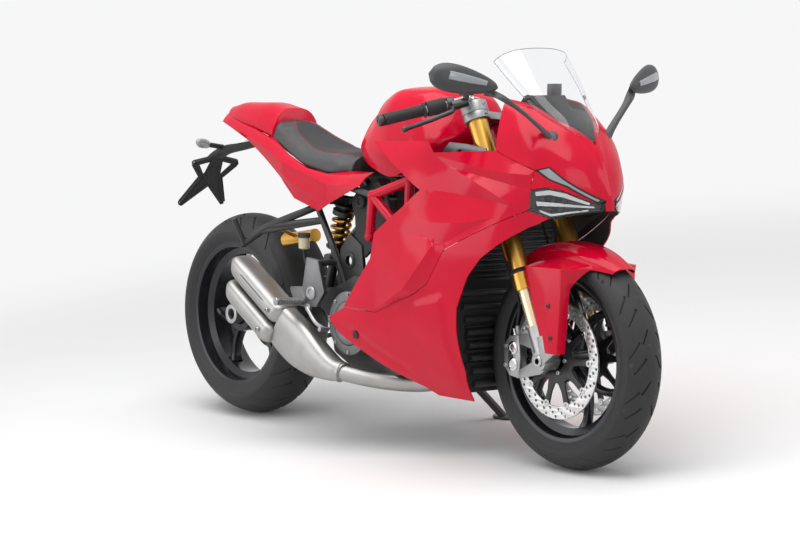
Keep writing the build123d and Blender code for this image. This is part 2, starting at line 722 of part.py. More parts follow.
with BuildPart() as headlamp_lenses:
    add(lens_right.part)
    add(running_light_right.part)
    mirror(about=Plane.XZ)

with BuildPart() as headlamp_bowls:
    add(core.part)
    slab(LAMP_BOWL, -8, -OUTSIDE, mode=Mode.INTERSECT)
    mirror(about=Plane.XZ)

# Windscreen: a curved sheet through three arcs that widen upward
# Columns: side edge as (x, half width, z), then the crown as (x, z).
SCREEN_ARCS = [((790, 22, 872), (806, 877)), ((690, 92, 960), (724, 972)), ((553, 128, 1091), (595, 1128))]


def screen_sections():
    """Thin curved sections of the screen, from its low tip to its top edge."""
    sections = []
    for (edge_x, half, edge_z), (crown_x, crown_z) in SCREEN_ARCS:
        crown = Vector(crown_x, 0, crown_z)
        inward = (Vector(edge_x, 0, edge_z) - crown).normalized()
        drop = (Vector(edge_x, 0, edge_z) - crown).length
        plane = Plane(origin=crown, x_dir=(0, 1, 0), z_dir=Vector(0, 1, 0).cross(inward))
        with BuildSketch(plane) as section:
            with BuildLine():
                ThreePointArc((-half, drop), (0, 0), (half, drop))
                Line((half, drop), (half - SCREEN_WALL, drop + SCREEN_WALL))
                ThreePointArc(
                    (half - SCREEN_WALL, drop + SCREEN_WALL),
                    (0, SCREEN_WALL),
                    (SCREEN_WALL - half, drop + SCREEN_WALL),
                )
                Line((SCREEN_WALL - half, drop + SCREEN_WALL), (-half, drop))
            make_face()
        sections.append(section.sketch)
    return sections


with BuildPart() as windscreen:
    loft(screen_sections())
    add(nose_cowl.part, mode=Mode.SUBTRACT)

with BuildPart() as dash:
    slab([(560, 950), (600, 1000), (628, 1002), (690, 918), (680, 900), (600, 924)], -62, 62, 5)
    slab([(462, 836), (474, 818), (640, 912), (622, 922)], -12, 12)
    rod(
        fork_point(LOWER_CLAMP_HEIGHT, 0, -FORK_OFFSET),
        fork_point(UPPER_CLAMP_HEIGHT + 40, 0, -FORK_OFFSET),
        HEAD_TUBE_RADIUS,
        Mode.SUBTRACT,
    )

# Mirrors: base square to the nose's flank, stalk and shaped head
MIRROR_SEAT = Vector(751, -103, 890.6)
MIRROR_WAY = Vector(0.6, -0.643, 0.474)
with BuildPart() as mirror_right:
    rod(MIRROR_SEAT + MIRROR_WAY * 0.5, MIRROR_SEAT + MIRROR_WAY * 22, 14)
    pipe([MIRROR_SEAT + MIRROR_WAY * 16, (716, -222, 990), (664, -284, 1014)], 9, 26)
    with BuildSketch(Plane(origin=(636, -330, 1040), x_dir=(0.05, -0.9, 0.42), z_dir=(-0.98, -0.04, 0.05))):
        Ellipse(86, 42)
    extrude(amount=10)
    with BuildSketch(Plane(origin=(636, -330, 1040), x_dir=(0.05, -0.9, 0.42), z_dir=(0.98, 0.04, -0.05))):
        Ellipse(86, 42)
    extrude(amount=34, taper=32)

with BuildPart() as mirror_left:
    add(mirror_right.part.mirror(Plane.XZ))


# Tank, seat and tail, each lofted through rounded trapezoids
def body_sections(rows):
    """Sections from rows of: station, low height, high height, low half width, high half width, corner."""
    sections = []
    for station, low, high, half_low, half_high, corner in rows:
        with BuildSketch(Plane.YZ.offset(station)) as section:
            Polygon((-half_low, low), (half_low, low), (half_high, high), (-half_high, high), align=None)
            fillet(section.vertices(), corner)
        sections.append(section.sketch)
    return sections


TANK_ROWS = [
    (-98, 838, 876, 78, 54, 14),
    (-40, 815, 962, 120, 70, 24),
    (40, 800, 1002, 146, 92, 28),
    (140, 802, 1022, 166, 104, 34),
    (250, 816, 1024, 172, 100, 34),
    (330, 846, 990, 142, 82, 26),
    (372, 882, 944, 96, 58, 14),
]
SEAT_ROWS = [
    (-102, 762, 818, 140, 108, 16),
    (-180, 758, 822, 148, 118, 18),
    (-280, 774, 826, 146, 120, 18),
    (-400, 812, 864, 128, 102, 18),
    (-518, 860, 930, 100, 72, 18),
]
TAIL_ROWS = [
    (-518.5, 858, 955, 106, 62, 22),
    (-620, 884, 972, 92, 52, 22),
    (-740, 908, 972, 70, 36, 18),
    (-838, 928, 962, 40, 18, 10),
]
FILLER = Vector(214, 0, 1006)
FILLER_RADIUS = 44

with BuildPart() as fuel_tank:
    loft(body_sections(TANK_ROWS))
    rod(FILLER, FILLER + Vector(0, 0, 60), FILLER_RADIUS, Mode.SUBTRACT)

with BuildPart() as filler_cap:
    rod(FILLER, FILLER + Vector(0, 0, 16), FILLER_RADIUS - SEATED)
    rod(FILLER + Vector(0, 0, 16), FILLER + Vector(0, 0, 21), FILLER_RADIUS - 10)

with BuildPart() as seat:
    loft(body_sections(SEAT_ROWS))

with BuildPart() as tail_hump:
    loft(body_sections(TAIL_ROWS))

TAIL_PANEL = [
    (6, 744),
    (-140, 742),
    (-380, 794),
    (-540, 846),
    (-800, 914),
    (-842, 918),
    (-650, 862),
    (-515, 800),
    (-415, 752),
    (-340, 694),
    (-195, 662),
]
TAIL_PLAN = [
    (60, -156),
    (-150, -168),
    (-400, -142),
    (-860, -48),
    (-860, -43),
    (-400, -137),
    (-150, -163),
    (60, -151),
]
with BuildPart() as tail_panels:
    slab(TAIL_PANEL, -20, -OUTSIDE)
    with BuildSketch(Plane.XY.offset(600)):
        Polygon(*TAIL_PLAN, align=None)
    extrude(amount=400, mode=Mode.INTERSECT)
    mirror(about=Plane.XZ)

with BuildPart() as tail_lamp:
    slab([(-846, 940), (-846, 908), (-720, 884), (-710, 918)], -30, 30)
    add(tail_hump.part, mode=Mode.SUBTRACT)

# Engine: crankcase with the clutch and generator covers and the stand's lug
CASE_OUTLINE = [
    (-170, 330),
    (-158, 250),
    (-60, 206),
    (150, 206),
    (215, 260),
    (225, 430),
    (120, 470),
    (-60, 478),
    (-150, 440),
]
with BuildPart() as engine:
    slab(CASE_OUTLINE, -CASE_HALF_WIDTH, CASE_HALF_WIDTH, 22)
    rod((-30, -CASE_HALF_WIDTH, 345), (-30, -172, 345), 92)
    rod((-30, -172, 345), (-30, -178, 345), 60)
    rod((100, CASE_HALF_WIDTH, 352), (100, 166, 352), 76)
    rod(STAND_PIVOT - STAND_AXIS * 60, STAND_PIVOT - STAND_AXIS * (STAND_EYE_HALF + RUNNING), 20)
    rod(STAND_PIVOT - STAND_AXIS * 40, STAND_PIVOT + STAND_AXIS * 20, STAND_BOLT_RADIUS)
    slab([(-150, 440), (-214, 432), (-226, 376), (-160, 340)], -102, -CASE_HALF_WIDTH)
    rod(across(SWINGARM_PIVOT, -CASE_HALF_WIDTH), across(SWINGARM_PIVOT, CASE_HALF_WIDTH), SWINGARM_PIN_RADIUS)
    rod(across(FRONT_SPROCKET, CASE_HALF_WIDTH - 4), across(FRONT_SPROCKET, CHAIN_OFFSET + 16), 16)
    rod(across(FRONT_SPROCKET, CHAIN_OFFSET - 4.5), across(FRONT_SPROCKET, CHAIN_OFFSET + 4.5), 33)
    for side in (-1, 1):
        rod((130, side * 120, 300), (130, side * 214.5, 300), 8)
    for neighbour in (lower_fairing_right, lower_fairing_left):
        add(neighbour.part, mode=Mode.SUBTRACT)


def cylinder_stack(start, end, half_width, fins):
    """Finned barrel with a wider head, along a line in the middle plane."""
    start = Vector(start[0], 0, start[1])
    way = Vector(end[0], 0, end[1]) - start
    square = Plane(origin=start, x_dir=(0, 1, 0), z_dir=way)
    with BuildSketch(square) as barrel:
        RectangleRounded(half_width * 1.7, half_width * 1.5, 20)
    extrude(barrel.sketch, amount=way.length * 0.6)
    with BuildSketch(square.offset(way.length * 0.55)) as head:
        RectangleRounded(half_width * 2, half_width * 1.64, 24)
    extrude(head.sketch, amount=way.length * 0.45)
    for step in range(fins):
        with BuildSketch(square.offset(way.length * (0.08 + 0.45 * step / fins))) as fin:
            RectangleRounded(half_width * 1.95, half_width * 1.72, 18)
        extrude(fin.sketch, amount=5)


with BuildPart() as front_cylinder:
    cylinder_stack((218, 333), (392, 367), 80, 4)
    add(engine.part, mode=Mode.SUBTRACT)

with BuildPart() as rear_cylinder:
    cylinder_stack((26, 470), (-14, 690), 80, 4)
    add(engine.part, mode=Mode.SUBTRACT)

RADIATOR = Plane(origin=(454, 0, 572), x_dir=(0, 1, 0), z_dir=(0.985, 0, -0.174))
with BuildPart() as radiator:
    with BuildSketch(RADIATOR):
        Rectangle(330, 150)
    extrude(amount=22)
    with BuildSketch(RADIATOR.offset(22)):
        with GridLocations(0, 15, 1, 9):
            Rectangle(300, 6)
    extrude(amount=3)
    with BuildSketch(RADIATOR.offset(-6)):
        with Locations((-158, 0), (158, 0)):
            Rectangle(26, 156)
    extrude(amount=32)

# Trellis frame: tube runs from the steering head to the engine on each side
HEAD_TOP = fork_point(UPPER_CLAMP_HEIGHT - 30, 0, -FORK_OFFSET)
HEAD_LOW = fork_point(LOWER_CLAMP_HEIGHT + 64, 0, -FORK_OFFSET)
FRAME_KNEE = Vector(250, -172, 766)
FRAME_FOOT = Vector(240, -172, 600)
FRAME_BACK = Vector(88, -176, 718)
FRAME_REAR = Vector(70, -172, 600)
FRAME_RUNS = [
    (HEAD_TOP, FRAME_KNEE),
    (HEAD_LOW, FRAME_KNEE),
    (HEAD_LOW, FRAME_FOOT),
    (FRAME_KNEE, FRAME_BACK),
    (FRAME_FOOT, FRAME_BACK),
    (FRAME_BACK, FRAME_REAR),
    (FRAME_KNEE, FRAME_FOOT),
]
with BuildPart() as trellis_frame:
    for start, end in FRAME_RUNS:
        rod(start, end, 14)
    with Locations(FRAME_KNEE, FRAME_FOOT, FRAME_BACK, FRAME_REAR):
        Sphere(16)
    rod(FRAME_REAR, (20, -60, 625), 11)
    rod(FRAME_FOOT, (196, -108, 430), 11)
    rod((169, -174, 742), (169, 0, 742), 9)
    rod((169, -70, 742), (169, -70, 850), 9)
    rod((345, -86, 830), (345, -204.6, 800.5), 7)
    rod(FRAME_FOOT, (262, -240, 576.5), 7)
    rod((363, -86, 686), (466, -114, 636), 7)
    mirror(about=Plane.XZ)
    rod(
        fork_point(LOWER_CLAMP_HEIGHT + LOWER_CLAMP_THICKNESS + 2, 0, -FORK_OFFSET),
        fork_point(UPPER_CLAMP_HEIGHT - 2, 0, -FORK_OFFSET),
        HEAD_TUBE_RADIUS,
    )
    rod(
        fork_point(LOWER_CLAMP_HEIGHT, 0, -FORK_OFFSET),
        fork_point(UPPER_CLAMP_HEIGHT + 40, 0, -FORK_OFFSET),
        STEM_RADIUS + RUNNING,
        Mode.SUBTRACT,
    )
    for neighbour in (engine, rear_cylinder, fuel_tank, radiator, upper_fairing_right, upper_fairing_left):
        add(neighbour.part, mode=Mode.SUBTRACT)

with BuildPart() as subframe:
    pipe([(86, -170, 716), (-110, -124, 738), (-400, -104, 800), (-520, -84, 846), (-700, -46, 898)], 10, 40)
    pipe([(-118, -112, 440), (-170, -124, 560), (-330, -106, 772)], 10, 60)
    rod((-330, -106, 772), (-330, 0, 772), 8)
    rod((-182, -122, 692), (-182, 0, 692), 11)
    rod((-182, -122, 692), (-182, -116, 750), 9)
    rod((-668, -52, 889), (-668, 0, 862), 8)
    rod((-110, -124, 738), (-110, -162, 730), 7)
    rod((-400, -104, 800), (-400, -136.9, 780), 7)
    mirror(about=Plane.XZ)
    for neighbour in (trellis_frame, engine, seat, tail_hump, tail_panels):
        add(neighbour.part, mode=Mode.SUBTRACT)

# Plate hanger: an arm under the tail, the star-shaped bracket at its end and the rear indicators
BRACKET = Plane(origin=(-972, 0, 798), x_dir=(0, 1, 0), z_dir=(-0.842, 0, 0.54))
BRACKET_STAR = [
    (-90, -10),
    (-82, 4),
    (-30, -6),
    (30, -6),
    (82, 4),
    (90, -10),
    (44, -66),
    (88, -166),
    (76, -170),
    (0, -96),
    (-76, -170),
    (-88, -166),
    (-44, -66),
]
with BuildPart() as plate_hanger:
    slab([(-640, 850), (-700, 842), (-966, 786), (-984, 800), (-972, 820), (-880, 846), (-690, 862)], -24, 24)
    with BuildSketch(BRACKET):
        Polygon(*BRACKET_STAR, align=None)
    extrude(amount=5)
    for side in (-1, 1):
        rod((-892, side * 20, 836), (-880, side * 118, 850), 13)
    add(subframe.part, mode=Mode.SUBTRACT)

with BuildPart() as belly_inlet:
    slab([(400, 488), (412, 490), (424, 400), (420, 300), (430, 184), (420, 182), (408, 300), (412, 400)], -OUTSIDE, OUTSIDE)
    for height in (372, 338, 304, 270, 236):
        slab([(414, height), (430, height - 4), (430, height - 9), (414, height - 8)], -120, 120)
    add(core.part, mode=Mode.INTERSECT)

# Single-sided swingarm: a cast beam on the left with its pivot tube and axle housing
SWINGARM_BEAM = [
    (-168, 432),
    (-214, 440),
    (-520, 420),
    (-690, 390),
    (-740, 392),
    (-790, 350),
    (-790, 290),
    (-740, 250),
    (-680, 262),
    (-520, 330),
    (-300, 360),
    (-168, 372),
]
with BuildPart() as swingarm:
    slab(SWINGARM_BEAM, SWINGARM_INNER, SWINGARM_OUTER, 12)
    rod(across(SWINGARM_PIVOT, -100), across(SWINGARM_PIVOT, SWINGARM_OUTER), 26)
    rod(across(REAR_AXLE, 84), across(REAR_AXLE, SWINGARM_OUTER), 66)
    slab([(-300, 372), (-318, 456), (-352, 456), (-360, 378)], -84, SWINGARM_INNER + 2, 6)
    slab([(-180, 380), (-180, 420), (-320, 428), (-320, 380)], -84, SWINGARM_INNER + 2, 6)
    rod(across(REAR_AXLE, 80), across(REAR_AXLE, 140), REAR_SHAFT_RADIUS + RUNNING, Mode.SUBTRACT)
    rod(across(SWINGARM_PIVOT, -140), across(SWINGARM_PIVOT, 140), SWINGARM_PIN_RADIUS + SEATED / 2, Mode.SUBTRACT)

# Rear shock: damper with spring seats, its coil spring and the remote reservoir
SHOCK_LOW = Vector(-256, -62, 470)
SHOCK_HIGH = Vector(-186, -62, 690)
SHOCK_WAY = (SHOCK_HIGH - SHOCK_LOW).normalized()
SPRING_SEAT_LOW = 52
SPRING_SEAT_HIGH = (SHOCK_HIGH - SHOCK_LOW).length - 44
SPRING_WIRE = 5
SPRING_RADIUS = 25
SPRING_TURNS = 5
SPRING_START = SPRING_SEAT_LOW + SPRING_WIRE + SEATED
SPRING_HEIGHT = SPRING_SEAT_HIGH - SPRING_WIRE - SEATED - SPRING_START
with BuildPart() as rear_shock:
    rod(SHOCK_LOW - SHOCK_WAY * 60, SHOCK_HIGH + SHOCK_WAY * 12, 15)
    add(swingarm.part, mode=Mode.SUBTRACT)
    add(subframe.part, mode=Mode.SUBTRACT)
    rod(SHOCK_LOW + SHOCK_WAY * (SPRING_SEAT_LOW - 12), SHOCK_LOW + SHOCK_WAY * SPRING_SEAT_LOW, 33)
    rod(SHOCK_LOW + SHOCK_WAY * SPRING_SEAT_HIGH, SHOCK_LOW + SHOCK_WAY * (SPRING_SEAT_HIGH + 14), 33)

with BuildPart() as shock_spring:
    with BuildLine() as coil:
        Helix(
            pitch=SPRING_HEIGHT / SPRING_TURNS,
            height=SPRING_HEIGHT,
            radius=SPRING_RADIUS,
            center=SHOCK_LOW + SHOCK_WAY * SPRING_START,
            direction=SHOCK_WAY,
        )
    with BuildSketch(Plane(origin=coil.line @ 0, z_dir=coil.line % 0)):
        Circle(SPRING_WIRE)
    sweep(path=coil.line, is_frenet=True)

# Exhaust: pipe from the front cylinder, collector box and two stacked silencers
CAN_WAY = Vector(-0.852, 0, 0.524)
CAN_UP = Vector(0.524, 0, 0.852)
CAN_ROOT = Vector(-311, 0, 320)
CAN_HALF_HEIGHT = 33
CAN_HALF_WIDTH = 46
BOX_TOP = CAN_ROOT + CAN_UP * CAN_HALF_HEIGHT * 2
BOX_FOOT = CAN_ROOT - CAN_UP * CAN_HALF_HEIGHT * 2
BOX_OUTLINE = [(-30, 232), (-30, 182), (-150, 190), (-290, 226), (BOX_FOOT.X, BOX_FOOT.Z), (BOX_TOP.X, BOX_TOP.Z)]
BOX_OUTLINE += [(-190, 330)]
with BuildPart() as exhaust:
    pipe([(312, -40, 320), (300, -40, 200), (200, -70, 180), (60, -150, 184), (-40, -196, 206)], 22, 40)
    slab(BOX_OUTLINE, -164, -232)
    add(front_cylinder.part, mode=Mode.SUBTRACT)


def silencer(start, end, tall, wide):
    """Silencer can along a line, with a rounded rear rim and an outlet."""
    way = end - start
    square = Plane(origin=start, x_dir=(0, 1, 0), z_dir=way)
    with BuildSketch(square) as oval:
        Ellipse(wide, tall)
    extrude(oval.sketch, amount=way.length)
    with BuildSketch(square.offset(way.length - 30)) as outlet:
        Circle(wide * 0.55)
    extrude(outlet.sketch, amount=40, mode=Mode.SUBTRACT)


# Columns: offset across the pair, side position, length
CAN_ROWS = [(1, -206, 256), (-1, -214, 232)]
with BuildPart() as silencers:
    for rank, side, length in CAN_ROWS:
        root = CAN_ROOT + CAN_UP * rank * (CAN_HALF_HEIGHT + SEATED) + Vector(0, side, 0)
        silencer(root, root + CAN_WAY * length, CAN_HALF_HEIGHT, CAN_HALF_WIDTH)

# Footrests
REST_OUTLINE = [
    (-150, 520),
    (-205, 528),
    (-225, 440),
    (-290, 436),
    (-262, 384),
    (-200, 380),
    (-160, 384),
    (-120, 430),
]
with BuildPart() as footrest_plates:
    slab(REST_OUTLINE, -182, -194, 6)
    rod((-222, -192, 396), (-232, -284, 400), 10)
    rod((-158, -184, 512), (-152, -118, 512), 9)
    mirror(about=Plane.XZ)
    add(subframe.part, mode=Mode.SUBTRACT)

with BuildPart() as pillion_hangers:
    pipe([(-258, -114, 672), (-420, -186, 604), (-510, -204, 552)], 11, 30)
    rod((-226, -118, 632), (-420, -186, 604), 9)
    rod((-502, -204, 552), (-492, -252, 632), 9)
    mirror(about=Plane.XZ)
    add(subframe.part, mode=Mode.SUBTRACT)

with BuildPart() as shock_reservoir:
    rod((-470, -74, 560), (-320, -74, 582), 20)
    rod((-400, -74, 570), (-400, -182, 614), 6)
    add(pillion_hangers.part, mode=Mode.SUBTRACT)

# Side stand: an eye on the pivot bolt, a leg and a foot flat on the floor
FOOT_THICKNESS = 8
with BuildPart() as side_stand:
    rod(STAND_PIVOT - STAND_AXIS * STAND_EYE_HALF, STAND_PIVOT + STAND_AXIS * STAND_EYE_HALF, 22)
    rod(STAND_PIVOT + STAND_WAY * 14, STAND_FOOT, STAND_LEG_RADIUS)
    with BuildSketch(Plane(FLOOR * Pos(STAND_FOOT_FLOOR))):
        SlotOverall(86, 44)
    extrude(amount=FOOT_THICKNESS)
    with BuildSketch(Plane(FLOOR * Pos(STAND_FOOT_FLOOR))):
        Rectangle(600, 600)
    extrude(amount=-100, mode=Mode.SUBTRACT)
    rod(
        STAND_PIVOT - STAND_AXIS * 40,
        STAND_PIVOT + STAND_AXIS * 40,
        STAND_BOLT_RADIUS + RUNNING,
        Mode.SUBTRACT,
    )

PIECES = {
    "front_tyre": front_tyre,
    "rear_tyre": rear_tyre,
    "front_rim": front_rim,
    "rear_rim": rear_rim,
    "front_discs": front_discs,
    "rear_disc": rear_disc,
    "rear_hub": rear_hub,
    "wheel_nut": wheel_nut,
    "rear_sprocket": rear_sprocket,
    "chain": chain,
    "fork_tubes": fork_tubes,
    "fork_sliders": fork_sliders,
    "fork_feet": fork_feet,
    "front_axle": front_axle,
    "lower_clamp": lower_clamp,
    "upper_clamp": upper_clamp,
    "clip_ons": clip_ons,
    "grips": grips,
    "switch_blocks": switch_blocks,
    "levers": levers,
    "front_calipers": front_calipers,
    "rear_caliper": rear_caliper,
    "front_fender": front_fender,
    "upper_fairing_right": upper_fairing_right,
    "upper_fairing_left": upper_fairing_left,
    "lower_fairing_right": lower_fairing_right,
    "lower_fairing_left": lower_fairing_left,
    "nose_cowl": nose_cowl,
    "headlamp_lenses": headlamp_lenses,
    "headlamp_bowls": headlamp_bowls,
    "windscreen": windscreen,
    "dash": dash,
    "mirror_right": mirror_right,
    "mirror_left": mirror_left,
    "fuel_tank": fuel_tank,
    "filler_cap": filler_cap,
    "seat": seat,
    "tail_hump": tail_hump,
    "tail_panels": tail_panels,
    "tail_lamp": tail_lamp,
    "plate_hanger": plate_hanger,
    "trellis_frame": trellis_frame,
    "subframe": subframe,
    "engine": engine,
    "front_cylinder": front_cylinder,
    "rear_cylinder": rear_cylinder,
    "radiator": radiator,
    "belly_inlet": belly_inlet,
    "swingarm": swingarm,
    "rear_shock": rear_shock,
    "shock_spring": shock_spring,
    "shock_reservoir": shock_reservoir,
    "exhaust": exhaust,
    "silencers": silencers,
    "footrest_plates": footrest_plates,
    "pillion_hangers": pillion_hangers,
    "side_stand": side_stand,
}

# The leaned pieces, moved so that the middle of their footprint on the floor is the origin
leaned = {name: STANCE * piece.part for name, piece in PIECES.items()}
reach = Compound(children=[piece.moved(Location()) for piece in leaned.values()]).bounding_box()
centre = Pos(-(reach.min.X + reach.max.X) / 2, -(reach.min.Y + reach.max.Y) / 2, -reach.min.Z)

os.makedirs("parts", exist_ok=True)
for name, piece in leaned.items():
    placed = centre * piece
    placed.label = name
    export_step(placed, f"parts/{name}.step")
print("moved to the origin by", centre.position)
print("stand axis", STAND_AXIS, "pivot", STAND_PIVOT)
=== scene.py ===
import logging
import math
from dataclasses import dataclass, field
from enum import Enum
from typing import Any, Callable, Iterable, Optional, Sequence, Union

import bmesh
import bpy
import numpy as np
from mathutils import Matrix, Vector
from mathutils.geometry import delaunay_2d_cdt


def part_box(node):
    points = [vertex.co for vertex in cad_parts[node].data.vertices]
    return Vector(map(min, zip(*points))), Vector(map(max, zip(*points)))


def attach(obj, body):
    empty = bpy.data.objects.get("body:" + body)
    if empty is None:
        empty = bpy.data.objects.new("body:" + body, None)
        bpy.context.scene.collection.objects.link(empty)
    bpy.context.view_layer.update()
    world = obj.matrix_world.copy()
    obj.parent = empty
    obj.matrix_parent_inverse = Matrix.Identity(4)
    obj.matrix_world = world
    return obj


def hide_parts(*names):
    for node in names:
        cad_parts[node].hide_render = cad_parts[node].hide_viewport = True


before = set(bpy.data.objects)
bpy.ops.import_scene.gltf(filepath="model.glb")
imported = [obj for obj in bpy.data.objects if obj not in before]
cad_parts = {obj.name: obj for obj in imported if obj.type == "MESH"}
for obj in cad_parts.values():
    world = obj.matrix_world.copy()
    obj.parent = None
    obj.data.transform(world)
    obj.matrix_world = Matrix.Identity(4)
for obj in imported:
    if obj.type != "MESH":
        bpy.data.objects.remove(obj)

LOG = logging.getLogger("sport_bike")
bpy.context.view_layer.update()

Point = Sequence[float]
Colour = tuple[float, float, float]
Spots = list[tuple[Point, Point]]

MM = 0.001
LEAN = math.radians(9.0)
RAKE = math.radians(24.0)
FRONT_AXLE = Vector((739.0, 0.0, 300.0))
REAR_AXLE = Vector((-739.0, 0.0, 315.0))
STEER_UP = Vector((-math.sin(RAKE), 0.0, math.cos(RAKE)))
STEER_AHEAD = Vector((math.cos(RAKE), 0.0, math.sin(RAKE)))
SIDE = Vector((0.0, 1.0, 0.0))
RIM_BEAD = 226.0


class Body(str, Enum):
    """Moving bodies of the bike."""

    CHASSIS = "chassis"
    FORK = "fork"
    FRONT_WHEEL = "front_wheel"
    REAR_WHEEL = "rear_wheel"
    STAND = "side_stand"


class Grain(Enum):
    """Kinds of fine relief that a finish shows."""

    PEEL = "sprayed paint"
    MOULDED = "moulded plastic"
    CAST = "sand casting"
    TURNED = "turned round the wheel axle"
    RUBBER = "tyre rubber"


class Stance:
    """Carries points of the upright bike, in millimetres, to the leaning frame, in metres."""

    def __init__(self) -> None:
        """Reads the lean's place from the front axle's node."""
        low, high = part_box("front_axle")
        self.turn = Matrix.Rotation(-LEAN, 4, "X")
        shift = (low + high) / 2 - (self.turn @ FRONT_AXLE) * MM
        self.matrix = Matrix.Translation(shift) @ self.turn @ Matrix.Scale(MM, 4)


STANCE = Stance()


def arithmetic(operation: str, swapped: bool = False) -> Callable[["Value", Any], "Value"]:
    """Makes an operator of socket values from a Math node's operation.

    Args:
        operation: The Math node's operation.
        swapped: Puts the other value first.

    Returns:
        The operator's method.
    """

    def method(value: "Value", other: Any) -> "Value":
        """Adds the Math node on both values."""
        return value.nodes.math(operation, *((other, value) if swapped else (value, other)))

    return method


class Value:
    """A node's output that takes part in Python arithmetic."""

    def __init__(self, nodes: "Nodes", socket: bpy.types.NodeSocket) -> None:
        """Wraps a socket of a node tree."""
        self.nodes = nodes
        self.socket = socket

    __add__ = arithmetic("ADD")
    __radd__ = arithmetic("ADD", swapped=True)
    __sub__ = arithmetic("SUBTRACT")
    __rsub__ = arithmetic("SUBTRACT", swapped=True)
    __mul__ = arithmetic("MULTIPLY")
    __truediv__ = arithmetic("DIVIDE")

    def smoothed(self, low: float, high: float) -> "Value":
        """Smooth step from 0 at low to 1 at high."""
        settings = {"interpolation_type": "SMOOTHSTEP", "clamp": True}
        return self.nodes.node("ShaderNodeMapRange", settings, {"Value": self, "From Min": low, "From Max": high})


class Nodes:
    """A node tree that takes nodes from one method."""

    def __init__(self, tree: bpy.types.NodeTree) -> None:
        """Wraps a shader or geometry tree."""
        self.tree = tree

    def node(
        self, kind: str, settings: Optional[dict] = None, inputs: Optional[dict] = None, output: Union[int, str] = 0
    ) -> Value:
        """Adds a node.

        Args:
            kind: The node's type.
            settings: Its properties, set first.
            inputs: Values or links of its sockets, by name or number.
            output: The output that is returned.

        Returns:
            The wrapped output.
        """
        made = self.tree.nodes.new(kind)
        for name, value in (settings or {}).items():
            setattr(made, name, value)
        for key, value in (inputs or {}).items():
            if value is None:
                continue
            if isinstance(value, Value):
                self.tree.links.new(value.socket, made.inputs[key])
            else:
                made.inputs[key].default_value = value
        return Value(self, made.outputs[output])

    def math(self, operation: str, first: Any, second: Any = None) -> Value:
        """Adds a Math node on one or two values."""
        return self.node("ShaderNodeMath", {"operation": operation}, {0: first, 1: second})


class Shade(Nodes):
    """A material's tree with its main shader."""

    def __init__(self, name: str) -> None:
        """Makes the material and finds its shader."""
        self.material = bpy.data.materials.new(name)
        self.material.use_nodes = True
        super().__init__(self.material.node_tree)
        self.shader = self.tree.nodes["Principled BSDF"]

    def set(self, **sockets: Any) -> None:
        """Sets or links the shader's sockets, named with underscores for spaces."""
        for name, value in sockets.items():
            socket = self.shader.inputs[name.replace("_", " ")]
            if isinstance(value, Value):
                self.tree.links.new(value.socket, socket)
            else:
                socket.default_value = value

    def place(self) -> Value:
        """Object coordinates, in metres."""
        return self.node("ShaderNodeTexCoord", output="Object")

    def noise(self, size: float, vector: Optional[Value] = None, detail: float = 2.0) -> Value:
        """Noise of a size in millimetres, from 0 to 1."""
        inputs = {"Vector": vector or self.place(), "Scale": 1.0 / (size * MM), "Detail": detail}
        return self.node("ShaderNodeTexNoise", None, inputs)

    def blend(self, share: Value, first: Any, second: Any) -> Value:
        """Mixes two colours by a share."""
        inputs = {0: share, 6: first, 7: second}
        return self.node("ShaderNodeMix", {"data_type": "RGBA"}, inputs, output=2)

    def relief(self, height: Value, depth: float) -> None:
        """Bumps the surface by a height from 0 to 1 and a depth in millimetres."""
        inputs = {"Height": height, "Strength": 1.0, "Distance": depth * MM}
        self.set(Normal=self.node("ShaderNodeBump", None, inputs))


class Surface:
    """A look whose material is built on its first use."""

    name: str
    slot: str

    def material(self) -> bpy.types.Material:
        """Gives the material, built on its first use."""
        return bpy.data.materials.get(self.name) or self._build()


